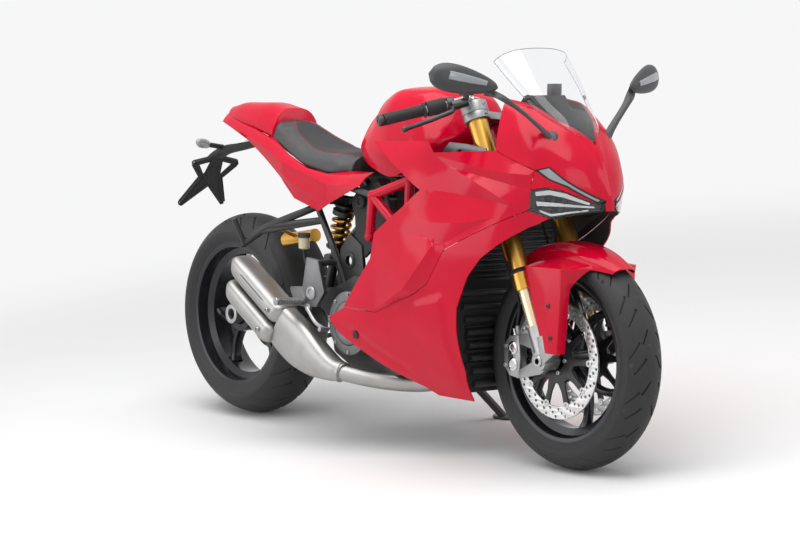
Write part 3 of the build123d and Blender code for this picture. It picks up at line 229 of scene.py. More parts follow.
@dataclass(frozen=True)
class Finish(Surface):
    """A surface finish with its own fine relief and variation.

    Attributes:
        name: Name of the material.
        colour: Linear base colour.
        slot: Slot of the record that the finish belongs to; not used.
        metallic: Share of metal.
        roughness: Middle roughness.
        coat: Clear coat's weight.
        haze: Clear coat's roughness.
        grain: Kind of relief.
        grain_size: Size of the relief in millimetres.
        grain_depth: Depth of the relief in millimetres.
        mottle: Share by which colour and roughness vary.
        clear: Transmission for lenses and screens.
        glow: Share of its own light: lamp light on lamps, painted glow on the screen's edge, which is no lamp.
        specular: Reflection of the base under a coat.
        axle: Axle that a turned finish circles.
    """

    name: str
    colour: Colour
    slot: str
    metallic: float = 0.0
    roughness: float = 0.5
    coat: float = 0.0
    haze: float = 0.03
    grain: Grain = Grain.MOULDED
    grain_size: float = 1.2
    grain_depth: float = 0.05
    mottle: float = 0.12
    clear: float = 0.0
    glow: float = 0.0
    specular: float = 0.5
    axle: tuple[float, float, float] = (739.0, 0.0, 300.0)

    def _build(self) -> bpy.types.Material:
        """Builds colour, roughness and relief from procedural nodes."""
        shade = Shade(self.name)
        cloud = shade.noise(60.0, detail=3.0)
        shift = (cloud - 0.5) * (2.0 * self.mottle)
        dark = tuple(part * (1.0 - self.mottle) for part in self.colour)
        pale = tuple(min(1.0, part * (1.0 + self.mottle)) for part in self.colour)
        shade.set(
            Base_Color=shade.blend(cloud.smoothed(0.25, 0.75), (*dark, 1.0), (*pale, 1.0)),
            Metallic=self.metallic,
            Roughness=self.roughness + shift * self.roughness,
            Coat_Weight=self.coat,
            Coat_Roughness=self.haze,
            Transmission_Weight=self.clear,
            Specular_IOR_Level=self.specular,
        )
        if self.clear:
            shade.set(IOR=1.4)
        if self.glow:
            shade.set(Emission_Color=(*self.colour, 1.0), Emission_Strength=self.glow)
        if self.grain_depth:
            shade.relief(self._height(shade), self.grain_depth)
        return shade.material

    def _height(self, shade: Shade) -> Value:
        """Height of the relief, from 0 to 1."""
        if self.grain is Grain.TURNED:
            centre = STANCE.matrix @ Vector(self.axle)
            moved = shade.node("ShaderNodeMapping", None, {"Vector": shade.place(), "Location": tuple(-centre)})
            flat = shade.node("ShaderNodeMapping", None, {"Vector": moved, "Rotation": (LEAN, 0.0, 0.0)})
            parts = shade.node("ShaderNodeVectorMath", {"operation": "MULTIPLY"}, {0: flat, 1: (1.0, 0.0, 1.0)})
            far = shade.node("ShaderNodeVectorMath", {"operation": "LENGTH"}, {0: parts}, output="Value")
            line = shade.node("ShaderNodeCombineXYZ", None, {"X": far})
            return shade.noise(self.grain_size, line, 2.0)
        if self.grain is Grain.CAST:
            return shade.noise(self.grain_size, detail=6.0) * 0.7 + shade.noise(self.grain_size * 6.0) * 0.3
        return shade.noise(self.grain_size, detail=4.0)


class Finishes:
    """Every finish of the bike."""

    RED = Finish("paint_red", (0.6, 0.0012, 0.026), "red_plastic", roughness=0.42, coat=0.5, haze=0.14,
                 grain=Grain.PEEL, grain_size=9.0, grain_depth=0.012, mottle=0.03, specular=0.0)
    RED_METAL = Finish("paint_red_metal", (0.6, 0.0012, 0.026), "red_metal", roughness=0.42, coat=0.5, haze=0.12,
                       grain=Grain.PEEL, grain_size=9.0, grain_depth=0.012, mottle=0.03, specular=0.0)
    WHEEL = Finish("wheel_black", (0.007, 0.007, 0.008), "wheel_black", roughness=0.3, coat=1.0, grain=Grain.PEEL,
                   grain_size=6.0, grain_depth=0.02)
    TYRE = Finish("tyre_rubber", (0.014, 0.014, 0.015), "tyre", roughness=0.62, grain=Grain.RUBBER, grain_size=1.6,
                  grain_depth=0.22, mottle=0.2)
    GOLD = Finish("gold_anodised", (0.66, 0.36, 0.075), "gold", metallic=1.0, roughness=0.3, grain=Grain.CAST,
                  grain_size=0.8, grain_depth=0.02, mottle=0.05)
    SLIDER = Finish("slider_nitride", (0.86, 0.72, 0.47), "slider", metallic=0.75, roughness=0.26, grain=Grain.CAST,
                    grain_size=0.6, grain_depth=0.01, mottle=0.05)
    SILVER = Finish("cast_alloy", (0.36, 0.36, 0.365), "silver", metallic=1.0, roughness=0.42, grain=Grain.CAST,
                    grain_size=1.4, grain_depth=0.1)
    BRIGHT = Finish("polished_alloy", (0.62, 0.62, 0.615), "silver", metallic=1.0, roughness=0.14, grain=Grain.CAST,
                    grain_size=0.8, grain_depth=0.01, mottle=0.06)
    STEEL = Finish("plain_steel", (0.38, 0.38, 0.38), "steel", metallic=1.0, roughness=0.32, grain=Grain.CAST,
                   grain_size=0.8, grain_depth=0.03)
    DARK_STEEL = Finish("dark_steel", (0.07, 0.07, 0.072), "steel", metallic=1.0, roughness=0.4, grain=Grain.CAST,
                        grain_size=1.0, grain_depth=0.05)
    DISC = Finish("disc_steel", (0.31, 0.31, 0.31), "disc_steel", metallic=1.0, roughness=0.36, grain=Grain.TURNED,
                  grain_size=0.5, grain_depth=0.03, mottle=0.06)
    DISC_REAR = Finish("disc_steel_rear", (0.31, 0.31, 0.31), "disc_steel", metallic=1.0, roughness=0.36,
                       grain=Grain.TURNED, grain_size=0.5, grain_depth=0.03, mottle=0.06, axle=(-739.0, 0.0, 315.0))
    PIPE = Finish("satin_steel", (0.35, 0.345, 0.335), "pipe_steel", metallic=1.0, roughness=0.42, grain=Grain.CAST,
                  grain_size=0.7, grain_depth=0.04, mottle=0.07)
    BLACK_METAL = Finish("black_coat", (0.016, 0.016, 0.017), "black_metal", roughness=0.42, grain=Grain.CAST,
                         grain_size=1.0, grain_depth=0.06)
    BLACK = Finish("black_plastic", (0.012, 0.012, 0.013), "black_plastic", roughness=0.5, grain_size=0.8,
                   grain_depth=0.05)
    GREY = Finish("grey_plastic", (0.036, 0.037, 0.039), "black_plastic", roughness=0.44, grain_size=0.7,
                  grain_depth=0.05)
    GRIP = Finish("grip_rubber", (0.013, 0.013, 0.013), "rubber", roughness=0.6, grain_size=1.0, grain_depth=0.1)
    ENGINE = Finish("engine_cast", (0.075, 0.076, 0.078), "engine", metallic=0.7, roughness=0.48, grain=Grain.CAST,
                    grain_size=1.6, grain_depth=0.18)
    COVER = Finish("cover_alloy", (0.17, 0.17, 0.175), "engine", metallic=1.0, roughness=0.42, grain=Grain.CAST,
                   grain_size=1.2, grain_depth=0.1)
    CLEAR = Finish("clear_sheet", (0.96, 0.97, 0.98), "clear", roughness=0.02, grain_depth=0.0, mottle=0.01,
                   clear=1.0)
    # Lamps' finish with a faint glow of its own; the screen's edge takes it too, where the glow is painted light on a
    # part that is no lamp.
    LAMP_AND_PAINTED_GLOW = Finish("lamp_strip", (0.24, 0.25, 0.265), "clear", roughness=0.25, coat=1.0, grain_size=2.5,
                        grain_depth=0.2, glow=0.12)
    LAMP_RED = Finish("lamp_red", (0.35, 0.004, 0.006), "lamp_red", roughness=0.18, coat=1.0, grain_size=3.0,
                      grain_depth=0.1)
    AMBER = Finish("amber_lens", (0.7, 0.14, 0.012), "lamp_red", roughness=0.2, coat=1.0, grain_size=3.0,
                   grain_depth=0.15)
    FLUID = Finish("fluid_pot", (0.55, 0.5, 0.32), "clear", roughness=0.3, coat=0.5, grain_size=2.0,
                   grain_depth=0.02)
    MIRROR = Finish("mirror_glass", (0.82, 0.84, 0.86), "silver", metallic=1.0, roughness=0.02, grain_depth=0.0,
                    mottle=0.01)
    THREAD = Finish("red_thread", (0.4, 0.01, 0.02), "seat", roughness=0.6, grain_size=0.5, grain_depth=0.1)


def linked(name: str, data: Any) -> bpy.types.Object:
    """An object of a mesh, curve, lamp or camera, in the scene."""
    made = bpy.data.objects.new(name, data)
    bpy.context.scene.collection.objects.link(made)
    return made


def final_mesh(holder: bpy.types.Object) -> bpy.types.Mesh:
    """A plain mesh of what an object's curve or modifiers give."""
    bpy.context.view_layer.update()
    return bpy.data.meshes.new_from_object(holder.evaluated_get(bpy.context.evaluated_depsgraph_get()))


def points_of(mesh: bpy.types.Mesh) -> np.ndarray:
    """A mesh's points, as rows of three."""
    return np.array([vertex.co[:] for vertex in mesh.vertices], float)


class Form:
    """A mesh in the upright bike's millimetres."""

    def __init__(self, points: Any, faces: Iterable[Sequence[int]]) -> None:
        """Keeps points and faces."""
        self.points = np.array(points, float).reshape(-1, 3)
        self.faces = [tuple(int(index) for index in face) for face in faces]

    @classmethod
    def joined(cls, forms: Iterable["Form"]) -> "Form":
        """One form of several."""
        points, faces, start = [], [], 0
        for form in forms:
            points.append(form.points)
            faces += [tuple(index + start for index in face) for face in form.faces]
            start += len(form.points)
        return cls(np.vstack(points), faces)

    def moved(self, matrix: Matrix) -> "Form":
        """The form under a matrix."""
        grid = np.array(matrix)
        return Form(self.points @ grid[:3, :3].T + grid[:3, 3], self.faces)

    def mirrored(self) -> "Form":
        """The form on the bike's other side."""
        return Form(self.points * (1.0, -1.0, 1.0), [face[::-1] for face in self.faces])

    def flipped(self) -> "Form":
        """The form with its faces turned over."""
        return Form(self.points, [face[::-1] for face in self.faces])

    def both(self) -> "Form":
        """The form and its mirror image."""
        return Form.joined([self, self.mirrored()])

    @classmethod
    def grid(cls, rows: Any, ring: bool = False, caps: bool = False) -> "Form":
        """Quads over rows of points.

        Args:
            rows: Points by row and column.
            ring: Joins each row's last point to its first.
            caps: Closes the first and last rows of a ring.

        Returns:
            The form.
        """
        rows = np.asarray(rows, float)
        count, width = rows.shape[:2]
        steps = width if ring else width - 1
        faces = []
        for row in range(count - 1):
            for step in range(steps):
                after = (step + 1) % width
                low, high = row * width, (row + 1) * width
                faces.append((low + step, low + after, high + after, high + step))
        if caps:
            faces.append(tuple(range(width))[::-1])
            faces.append(tuple(range((count - 1) * width, count * width)))
        return cls(rows.reshape(-1, 3), faces)

    @classmethod
    def lathe(cls, profile: Sequence[Point], start: Point, way: Point, segments: int = 64) -> "Form":
        """Turns a profile of (distance along, radius) about a line from a start.

        Args:
            profile: Closed by its own ends, or by the axis where it starts and ends there.
            start: Point that distances are measured from.
            way: Direction of the axis.
            segments: Steps round the axis.

        Returns:
            The form.
        """
        along = Vector(way).normalized()
        first = along.orthogonal().normalized()
        second = along.cross(first)
        angles = np.linspace(0.0, math.tau, segments, endpoint=False)
        ring = np.outer(np.cos(angles), first) + np.outer(np.sin(angles), second)
        rows = [np.array(start) + np.array(along) * far + ring * max(radius, 0.001) for far, radius in profile]
        return cls.grid(rows, ring=True)

    @classmethod
    def rod(cls, start: Point, end: Point, radius: float, edge: float = 1.0, segments: int = 32) -> "Form":
        """Round bar with softened ends."""
        length = (Vector(end) - Vector(start)).length
        edge = min(edge, radius * 0.6, length * 0.4)
        profile = [(0, 0), (0, radius - edge), (edge, radius), (length - edge, radius), (length, radius - edge)]
        return cls.lathe([*profile, (length, 0)], start, Vector(end) - Vector(start), segments)

    @classmethod
    def pipe(cls, points: Sequence[Point], radius: float, sides: int = 8, order: int = 3) -> "Form":
        """Tube along a smooth line that the points control.

        Args:
            points: Control points.
            radius: Tube's radius.
            sides: Bevel resolution.
            order: Order of the line; 2 keeps straight runs.

        Returns:
            The form.
        """
        curve = bpy.data.curves.new("line", "CURVE")
        curve.dimensions = "3D"
        curve.bevel_depth = radius
        curve.bevel_resolution = sides
        curve.resolution_u = 10
        curve.use_fill_caps = True
        spline = curve.splines.new("NURBS")
        spline.points.add(len(points) - 1)
        for knot, place in zip(spline.points, points):
            knot.co = (*place, 1.0)
        spline.order_u = min(order, len(points))
        spline.use_endpoint_u = True
        return cls._from_curve(curve)

    @classmethod
    def plate(
        cls, loops: Sequence[Sequence[Point]], thickness: float, edge: float, plane: Matrix, steps: int = 1
    ) -> "Form":
        """Flat plate from loops; loops inside another are holes.

        Args:
            loops: Closed loops of (x, y) points on the plane.
            thickness: Whole thickness, centred on the plane.
            edge: Rounding of its edges.
            plane: Place of the plane.
            steps: Steps of the rounding.

        Returns:
            The form.
        """
        curve = bpy.data.curves.new("outline", "CURVE")
        curve.dimensions = "2D"
        curve.fill_mode = "BOTH"
        curve.extrude = thickness / 2 - edge
        curve.bevel_depth = edge
        curve.offset = -edge
        curve.bevel_resolution = steps
        for loop in loops:
            spline = curve.splines.new("POLY")
            spline.points.add(len(loop) - 1)
            for knot, place in zip(spline.points, loop):
                knot.co = (place[0], place[1], 0.0, 1.0)
            spline.use_cyclic_u = True
        return cls._from_curve(curve).moved(plane)

    @classmethod
    def _from_curve(cls, curve: bpy.types.Curve) -> "Form":
        """The mesh of a curve, with the curve removed."""
        holder = linked(curve.name, curve)
        mesh = final_mesh(holder)
        form = cls.of_mesh(mesh)
        bpy.data.meshes.remove(mesh)
        bpy.data.objects.remove(holder)
        bpy.data.curves.remove(curve)
        return form

    @classmethod
    def of_mesh(cls, mesh: bpy.types.Mesh) -> "Form":
        """The points and faces of a mesh."""
        return cls(points_of(mesh), [face.vertices[:] for face in mesh.polygons])

    @classmethod
    def of_node(cls, node: str) -> "Form":
        """A CAD node's shape, back in the upright bike's millimetres."""
        return cls.of_mesh(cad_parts[node].data).moved(STANCE.matrix.inverted())

    def holder(self, name: str, outward: bool = True, weld: float = 0.02) -> bpy.types.Object:
        """Makes an object of the form, still upright and in millimetres.

        Args:
            name: The object's name.
            outward: Turns the faces of closed shapes outwards.
            weld: Distance within which points are merged.

        Returns:
            The object.
        """
        mesh = bpy.data.meshes.new(name)
        mesh.from_pydata(self.points.tolist(), [], self.faces)
        work = bmesh.new()
        work.from_mesh(mesh)
        bmesh.ops.remove_doubles(work, verts=work.verts, dist=weld)
        bmesh.ops.dissolve_degenerate(work, edges=work.edges, dist=weld / 4)
        if outward:
            bmesh.ops.recalc_face_normals(work, faces=work.faces)
        work.to_mesh(mesh)
        work.free()
        return linked(name, mesh)


def baked(holder: bpy.types.Object) -> None:
    """Turns an object's modifiers into its plain mesh."""
    mesh = final_mesh(holder)
    holder.modifiers.clear()
    old = holder.data
    holder.data = mesh
    mesh.name = holder.name
    bpy.data.meshes.remove(old)


def add_bevel(holder: bpy.types.Object, width: float, angle: float) -> None:
    """Rounds edges sharper than an angle in degrees, by a width in millimetres."""
    bevel = holder.modifiers.new("bevel", "BEVEL")
    bevel.width = width
    bevel.segments = 2
    bevel.limit_method = "ANGLE"
    bevel.angle_limit = math.radians(angle)


@dataclass
class Piece:
    """One piece of the dressed bike.

    Attributes:
        name: The piece's name.
        body: The body that it rides on.
        finish: Its finish.
        replaces: CAD nodes that it stands for.
        smooth: Angle in degrees under which edges shade smooth.
        bevel: Rounding of its sharp edges in millimetres.
        wall: Thickness given to an open sheet, inwards.
        outward: Turns closed faces outwards.
        inner: Finish of the inside of a sheet with a wall.
    """

    name: str
    body: Body
    finish: Surface
    replaces: Sequence[str] = ()
    smooth: float = 38.0
    bevel: float = 0.0
    wall: float = 0.0
    outward: bool = True
    inner: Optional[Surface] = None

    def make(self, form: Form) -> bpy.types.Object:
        """Builds the object from a form and places it on its body."""
        made = form.holder(self.name, self.outward)
        if self.wall:
            solid = made.modifiers.new("wall", "SOLIDIFY")
            solid.thickness = self.wall
            solid.offset = -1.0
            solid.use_even_offset = False
            if self.inner:
                made.data.materials.append(self.finish.material())
                made.data.materials.append(self.inner.material())
                solid.material_offset = 1
        if self.bevel:
            add_bevel(made, self.bevel, 35.0)
        if made.modifiers:
            baked(made)
        return self.place(made)

    def place(self, made: bpy.types.Object) -> bpy.types.Object:
        """Leans an upright object, dresses it and rides it on its body."""
        made.data.transform(STANCE.matrix)
        made.data.shade_smooth()
        made.data.set_sharp_from_angle(angle=math.radians(self.smooth))
        if not self.inner:
            made.data.materials.clear()
            made.data.materials.append(self.finish.material())
        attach(made, self.body.value)
        if self.replaces:
            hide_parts(*self.replaces)
        LOG.info("%s: %d faces on %s", made.name, len(made.data.polygons), self.body.value)
        return made


def softened(node: str, body: Body, finish: Finish, bevel: float) -> bpy.types.Object:
    """A CAD node's shape with rounded edges.

    Args:
        node: The node that the piece stands for.
        body: Its body.
        finish: Its finish.
        bevel: Rounding in millimetres.

    Returns:
        The piece.
    """
    made = Form.of_node(node).holder(f"{node}_dressed", outward=False, weld=0.05)
    work = bmesh.new()
    work.from_mesh(made.data)
    bmesh.ops.dissolve_limit(work, angle_limit=math.radians(0.6), verts=work.verts, edges=work.edges)
    work.to_mesh(made.data)
    work.free()
    add_bevel(made, bevel, 40.0)
    baked(made)
    return Piece(f"{node}_dressed", body, finish, (node,)).place(made)


def dress(finish: Finish, *nodes: str) -> None:
    """Gives CAD nodes a finish."""
    for node in nodes:
        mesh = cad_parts[node].data
        mesh.materials.clear()
        mesh.materials.append(finish.material())


class Repeats:
    """Geometry Nodes trees for what repeats."""

    def __init__(self) -> None:
        """Builds the trees once."""
        self.ring_tree = self._ring()
        self.path_tree = self._path()
        self.spot_tree = self._spots()

    @staticmethod
    def _tree(name: str, sizes: Sequence[tuple[str, str]]) -> tuple[Nodes, Callable[[str], Value]]:
        """Starts a tree with a geometry input and further named inputs."""
        tree = bpy.data.node_groups.new(name, "GeometryNodeTree")
        tree.interface.new_socket("Geometry", in_out="OUTPUT", socket_type="NodeSocketGeometry")
        tree.interface.new_socket("Geometry", in_out="INPUT", socket_type="NodeSocketGeometry")
        for label, kind in sizes:
            tree.interface.new_socket(label, in_out="INPUT", socket_type=kind)
        nodes = Nodes(tree)
        source = tree.nodes.new("NodeGroupInput")
        return nodes, lambda label: Value(nodes, source.outputs[label])

    @staticmethod
    def _close(nodes: Nodes, source: Callable[[str], Value], inputs: dict[str, Value]) -> bpy.types.NodeTree:
        """Sets the shape on points, merges the copies' seams and gives them the material."""
        copies = nodes.node("GeometryNodeInstanceOnPoints", None, {"Instance": source("Geometry"), **inputs})
        real = nodes.node("GeometryNodeRealizeInstances", None, {"Geometry": copies})
        merged = nodes.node("GeometryNodeMergeByDistance", None, {"Geometry": real, "Distance": 0.02})
        dressed = nodes.node("GeometryNodeSetMaterial", None, {"Geometry": merged, "Material": source("Material")})
        out = nodes.tree.nodes.new("NodeGroupOutput")
        nodes.tree.links.new(dressed.socket, out.inputs[0])
        return nodes.tree

    def _ring(self) -> bpy.types.NodeTree:
        """Copies a shape round an axle."""
        sizes = [("Count", "NodeSocketInt"), ("Axle", "NodeSocketVector"), ("Material", "NodeSocketMaterial")]
        nodes, source = self._tree("round_an_axle", sizes)
        inputs = {"Count": source("Count"), "Start Location": source("Axle"), "Offset": (0.0, 0.0, 0.0)}
        points = nodes.node("GeometryNodeMeshLine", None, inputs)
        index = nodes.node("GeometryNodeInputIndex")
        turn = nodes.node("ShaderNodeCombineXYZ", None, {"Y": index * math.tau / source("Count")})
        return self._close(nodes, source, {"Points": points, "Rotation": turn})

    def _path(self) -> bpy.types.NodeTree:
        """Copies a shape along a path, turned to follow it about the bike's cross axis."""
        sizes = [("Path", "NodeSocketObject"), ("Count", "NodeSocketInt"), ("Every", "NodeSocketInt"),
                 ("Phase", "NodeSocketInt"), ("Material", "NodeSocketMaterial")]
        nodes, source = self._tree("along_a_path", sizes)
        line = nodes.node("GeometryNodeObjectInfo", None, {"Object": source("Path")}, output="Geometry")
        curve = nodes.node("GeometryNodeMeshToCurve", None, {"Mesh": line})
        inputs = {"Curve": curve, "Count": source("Count")}
        even = nodes.node("GeometryNodeResampleCurve", {"mode": "COUNT"}, inputs)
        tangent = nodes.node("GeometryNodeInputTangent")
        turn = nodes.node("FunctionNodeAlignRotationToVector", {"axis": "X"}, {"Vector": tangent})
        index = nodes.node("GeometryNodeInputIndex")
        rest = nodes.math("MODULO", index, source("Every"))
        chosen = nodes.node("FunctionNodeCompare", {"operation": "EQUAL", "data_type": "INT"},
                            {2: rest, 3: source("Phase")})
        return self._close(nodes, source, {"Points": even, "Rotation": turn, "Selection": chosen})

    def _spots(self) -> bpy.types.NodeTree:
        """Sets a shape on each spot, its Z along the spot's aim."""
        sizes = [("Spots", "NodeSocketObject"), ("Size", "NodeSocketFloat"), ("Material", "NodeSocketMaterial")]
        nodes, source = self._tree("on_spots", sizes)
        spots = nodes.node("GeometryNodeObjectInfo", None, {"Object": source("Spots")}, output="Geometry")
        aim = nodes.node("GeometryNodeInputNamedAttribute", {"data_type": "FLOAT_VECTOR"}, {"Name": "aim"})
        turn = nodes.node("FunctionNodeAlignRotationToVector", {"axis": "Z"}, {"Vector": aim})
        scale = nodes.node("ShaderNodeCombineXYZ", None, {axis: source("Size") for axis in "XYZ"})
        return self._close(nodes, source, {"Points": spots, "Rotation": turn, "Scale": scale})

    @staticmethod
    def _run(shape: Form, name: str, tree: bpy.types.NodeTree, sizes: dict[str, Any]) -> Form:
        """Runs a tree on a shape and gives the plain result."""
        holder = shape.holder(name)
        modifier = holder.modifiers.new(name, "NODES")
        modifier.node_group = tree
        names = {item.name: item.identifier for item in tree.interface.items_tree if item.in_out == "INPUT"}
        for label, value in sizes.items():
            modifier[names[label]] = value
        baked(holder)
        form = Form.of_mesh(holder.data)
        bpy.data.objects.remove(holder)
        return form

    def ring(self, shape: Form, count: int, axle: Vector, finish: Finish) -> Form:
        """A shape, drawn about the origin, repeated round an axle."""
        sizes = {"Count": count, "Axle": tuple(axle), "Material": finish.material()}
        return self._run(shape, "ring", self.ring_tree, sizes)

    def along(
        self, shape: Form, path: Sequence[Point], count: int, finish: Finish, every: int = 1, phase: int = 0,
        closed: bool = False,
    ) -> Form:
        """A shape, drawn along X at the origin, repeated on a path."""
        mesh = bpy.data.meshes.new("path")
        edges = [(step, step + 1) for step in range(len(path) - 1)]
        if closed:
            edges.append((len(path) - 1, 0))
        mesh.from_pydata([tuple(place) for place in path], edges, [])
        line = linked("path", mesh)
        sizes = {"Path": line, "Count": count, "Every": every, "Phase": phase, "Material": finish.material()}
        form = self._run(shape, "along", self.path_tree, sizes)
        bpy.data.objects.remove(line)
        return form

    def on_spots(self, shape: Form, spots: Spots, size: float, finish: Finish) -> Form:
        """A shape of unit size set on spots, each a place and an aim."""
        mesh = bpy.data.meshes.new("spots")
        mesh.from_pydata([tuple(place) for place, _ in spots], [], [])
        aim = mesh.attributes.new("aim", "FLOAT_VECTOR", "POINT")
        aim.data.foreach_set("vector", [part for _, way in spots for part in Vector(way).normalized()])
        marks = linked("spots", mesh)
        sizes = {"Spots": marks, "Size": size, "Material": finish.material()}
        form = self._run(shape, "on_spots", self.spot_tree, sizes)
        bpy.data.objects.remove(marks)
        return form


REPEATS = Repeats()


def bolt_head() -> Form:
    """A socket-headed bolt of radius 1 with a hollow for the key."""
    profile = [(-0.4, 0.0), (-0.4, 0.96), (0.7, 0.96), (0.85, 0.84), (0.85, 0.5), (0.35, 0.5), (0.35, 0.0)]
    return Form.lathe(profile, (0, 0, 0), (0, 0, 1), 12)


def bolts(name: str, body: Body, spots: Spots, radius: float, finish: Finish = Finishes.STEEL) -> bpy.types.Object:
    """Bolt heads on spots, as one piece."""
    return Piece(name, body, finish).make(REPEATS.on_spots(bolt_head(), spots, radius, finish))


def fork_point(height: float, side: float = 0.0, ahead: float = 0.0) -> Vector:
    """Point by its height along the fork from the axle, its side and its lead ahead of the legs."""
    return FRONT_AXLE + STEER_UP * height + STEER_AHEAD * ahead + SIDE * side


def upright(origin: Point, x_way: Point, normal: Point) -> Matrix:
    """Matrix of a plane by its origin, local x and normal."""
    z_way = Vector(normal).normalized()
    x_unit = (Vector(x_way) - z_way * Vector(x_way).dot(z_way)).normalized()
    y_way = z_way.cross(x_unit)
    turned = Matrix((x_unit, y_way, z_way)).transposed().to_4x4()
    return Matrix.Translation(Vector(origin)) @ turned


def side_plane(side: float) -> Matrix:
    """Plane with local (x, y) on the bike's (x, z), at a distance to its left."""
    return upright((0, side, 0), (1, 0, 0), (0, -1, 0))


def pchip_slopes(knots: np.ndarray, values: np.ndarray) -> np.ndarray:
    """Slopes of a curve through values that adds no bumps of its own.

    Args:
        knots: Rising places, one for each row of values.
        values: Rows of numbers.

    Returns:
        The slopes, shaped as the values.
    """
    gaps = np.diff(knots).reshape((-1,) + (1,) * (values.ndim - 1))
    rates = np.diff(values, axis=0) / gaps
    slopes = np.zeros_like(values)
    before, after = rates[:-1], rates[1:]
    with np.errstate(divide="ignore", invalid="ignore"):
        first = 2 * gaps[1:] + gaps[:-1]
        second = gaps[1:] + 2 * gaps[:-1]
        inner = (first + second) / (first / before + second / after)
    slopes[1:-1] = np.where(before * after > 0, inner, 0.0)
    slopes[0] = rates[0]
    slopes[-1] = rates[-1]
    return slopes


def pchip(knots: np.ndarray, values: np.ndarray, places: np.ndarray) -> np.ndarray:
    """Smooth curve through rows of values, read at places."""
    slopes = pchip_slopes(knots, values)
    spot = np.clip(np.searchsorted(knots, places) - 1, 0, len(knots) - 2)
    gap = (knots[spot + 1] - knots[spot]).reshape((-1,) + (1,) * (values.ndim - 1))
    share = np.clip((places - knots[spot]).reshape(gap.shape) / gap, 0.0, 1.0)
    low, high = values[spot], values[spot + 1]
    return (
        low * (1 + 2 * share) * (1 - share) ** 2
        + high * share**2 * (3 - 2 * share)
        + slopes[spot] * gap * share * (1 - share) ** 2
        + slopes[spot + 1] * gap * share**2 * (share - 1)
    )


class Skin:
    """A body surface through stations along X, each with levels of half width and height."""

    def __init__(self, stations: Sequence[Sequence[Any]]) -> None:
        """Keeps the stations; the last level is the middle of the top."""
        self.knots = np.array([station[0] for station in stations], float)
        levels = np.array([station[1:] for station in stations], float)
        back = levels[:, -2:-1] * (-1.0, 1.0)
        self.values = np.concatenate([levels, back], axis=1)
        self.top = levels.shape[1] - 1

    def at(self, places: np.ndarray, levels: np.ndarray) -> np.ndarray:
        """Half widths and heights at stations and levels, as rows of two."""
        sections = pchip(self.knots, self.values, np.asarray(places, float))
        return self._row(sections, np.asarray(levels, float))

    @staticmethod
    def _row(sections: np.ndarray, levels: np.ndarray) -> np.ndarray:
        """Reads each section at its own level."""
        count = sections.shape[1]
        slopes = np.moveaxis(pchip_slopes(np.arange(count, dtype=float), np.moveaxis(sections, 1, 0)), 0, 1)
        spot = np.clip(np.floor(levels).astype(int), 0, count - 2)
        share = np.clip(levels - spot, 0.0, 1.0)[:, None]
        rows = np.arange(len(levels))
        return (
            sections[rows, spot] * (1 + 2 * share) * (1 - share) ** 2
            + sections[rows, spot + 1] * share**2 * (3 - 2 * share)
            + slopes[rows, spot] * share * (1 - share) ** 2
            + slopes[rows, spot + 1] * share**2 * (share - 1)
        )

    def level(self, places: np.ndarray, targets: np.ndarray, column: int = 1, low: float = 0.0) -> np.ndarray:
        """Levels at which a column, width 0 or height 1, meets its targets."""
        sections = pchip(self.knots, self.values, np.asarray(places, float))
        under = np.full(len(sections), low)
        over = np.full(len(sections), float(self.top))
        for _ in range(26):
            middle = (under + over) / 2
            value = self._row(sections, middle)[:, column]
            rising = value < targets if column else value > targets
            under = np.where(rising, middle, under)
            over = np.where(rising, over, middle)
        return (under + over) / 2

    def width(self, drawn: np.ndarray) -> np.ndarray:
        """Half widths at side-view points of (x, z)."""
        levels = self.level(drawn[:, 0], drawn[:, 1])
        return self.at(drawn[:, 0], levels)[:, 0]


def resampled(loop: Sequence[Point], spacing: float, closed: bool = True) -> np.ndarray:
    """Points along a loop or line, no farther apart than a spacing."""
    places = [np.array(place, float) for place in loop]
    ends = places[1:] + ([places[0]] if closed else [])
    found = []
    for start, end in zip(places, ends):
        steps = max(1, math.ceil(np.linalg.norm(end - start) / spacing))
        found += [start + (end - start) * step / steps for step in range(steps)]
    if not closed:
        found.append(places[-1])
    return np.array(found)


def inside(drawn: np.ndarray, loop: np.ndarray) -> np.ndarray:
    """Which points lie inside a closed loop."""
    found = np.zeros(len(drawn), bool)
    for start, end in zip(loop, np.roll(loop, -1, axis=0)):
        crosses = (start[1] > drawn[:, 1]) != (end[1] > drawn[:, 1])
        rise = end[1] - start[1] if end[1] != start[1] else 1e-9
        found ^= crosses & (drawn[:, 0] < (end[0] - start[0]) * (drawn[:, 1] - start[1]) / rise + start[0])
    return found


def distance(drawn: np.ndarray, line: np.ndarray, closed: bool = True) -> np.ndarray:
    """Distance of points from a line or loop."""
    best = np.full(len(drawn), np.inf)
    ends = np.roll(line, -1, axis=0) if closed else line[1:]
    for start, end in zip(line, ends):
        run = end - start
        share = np.clip(((drawn - start) @ run) / max(run @ run, 1e-9), 0.0, 1.0)
        best = np.minimum(best, np.linalg.norm(drawn - start - share[:, None] * run, axis=1))
    return best


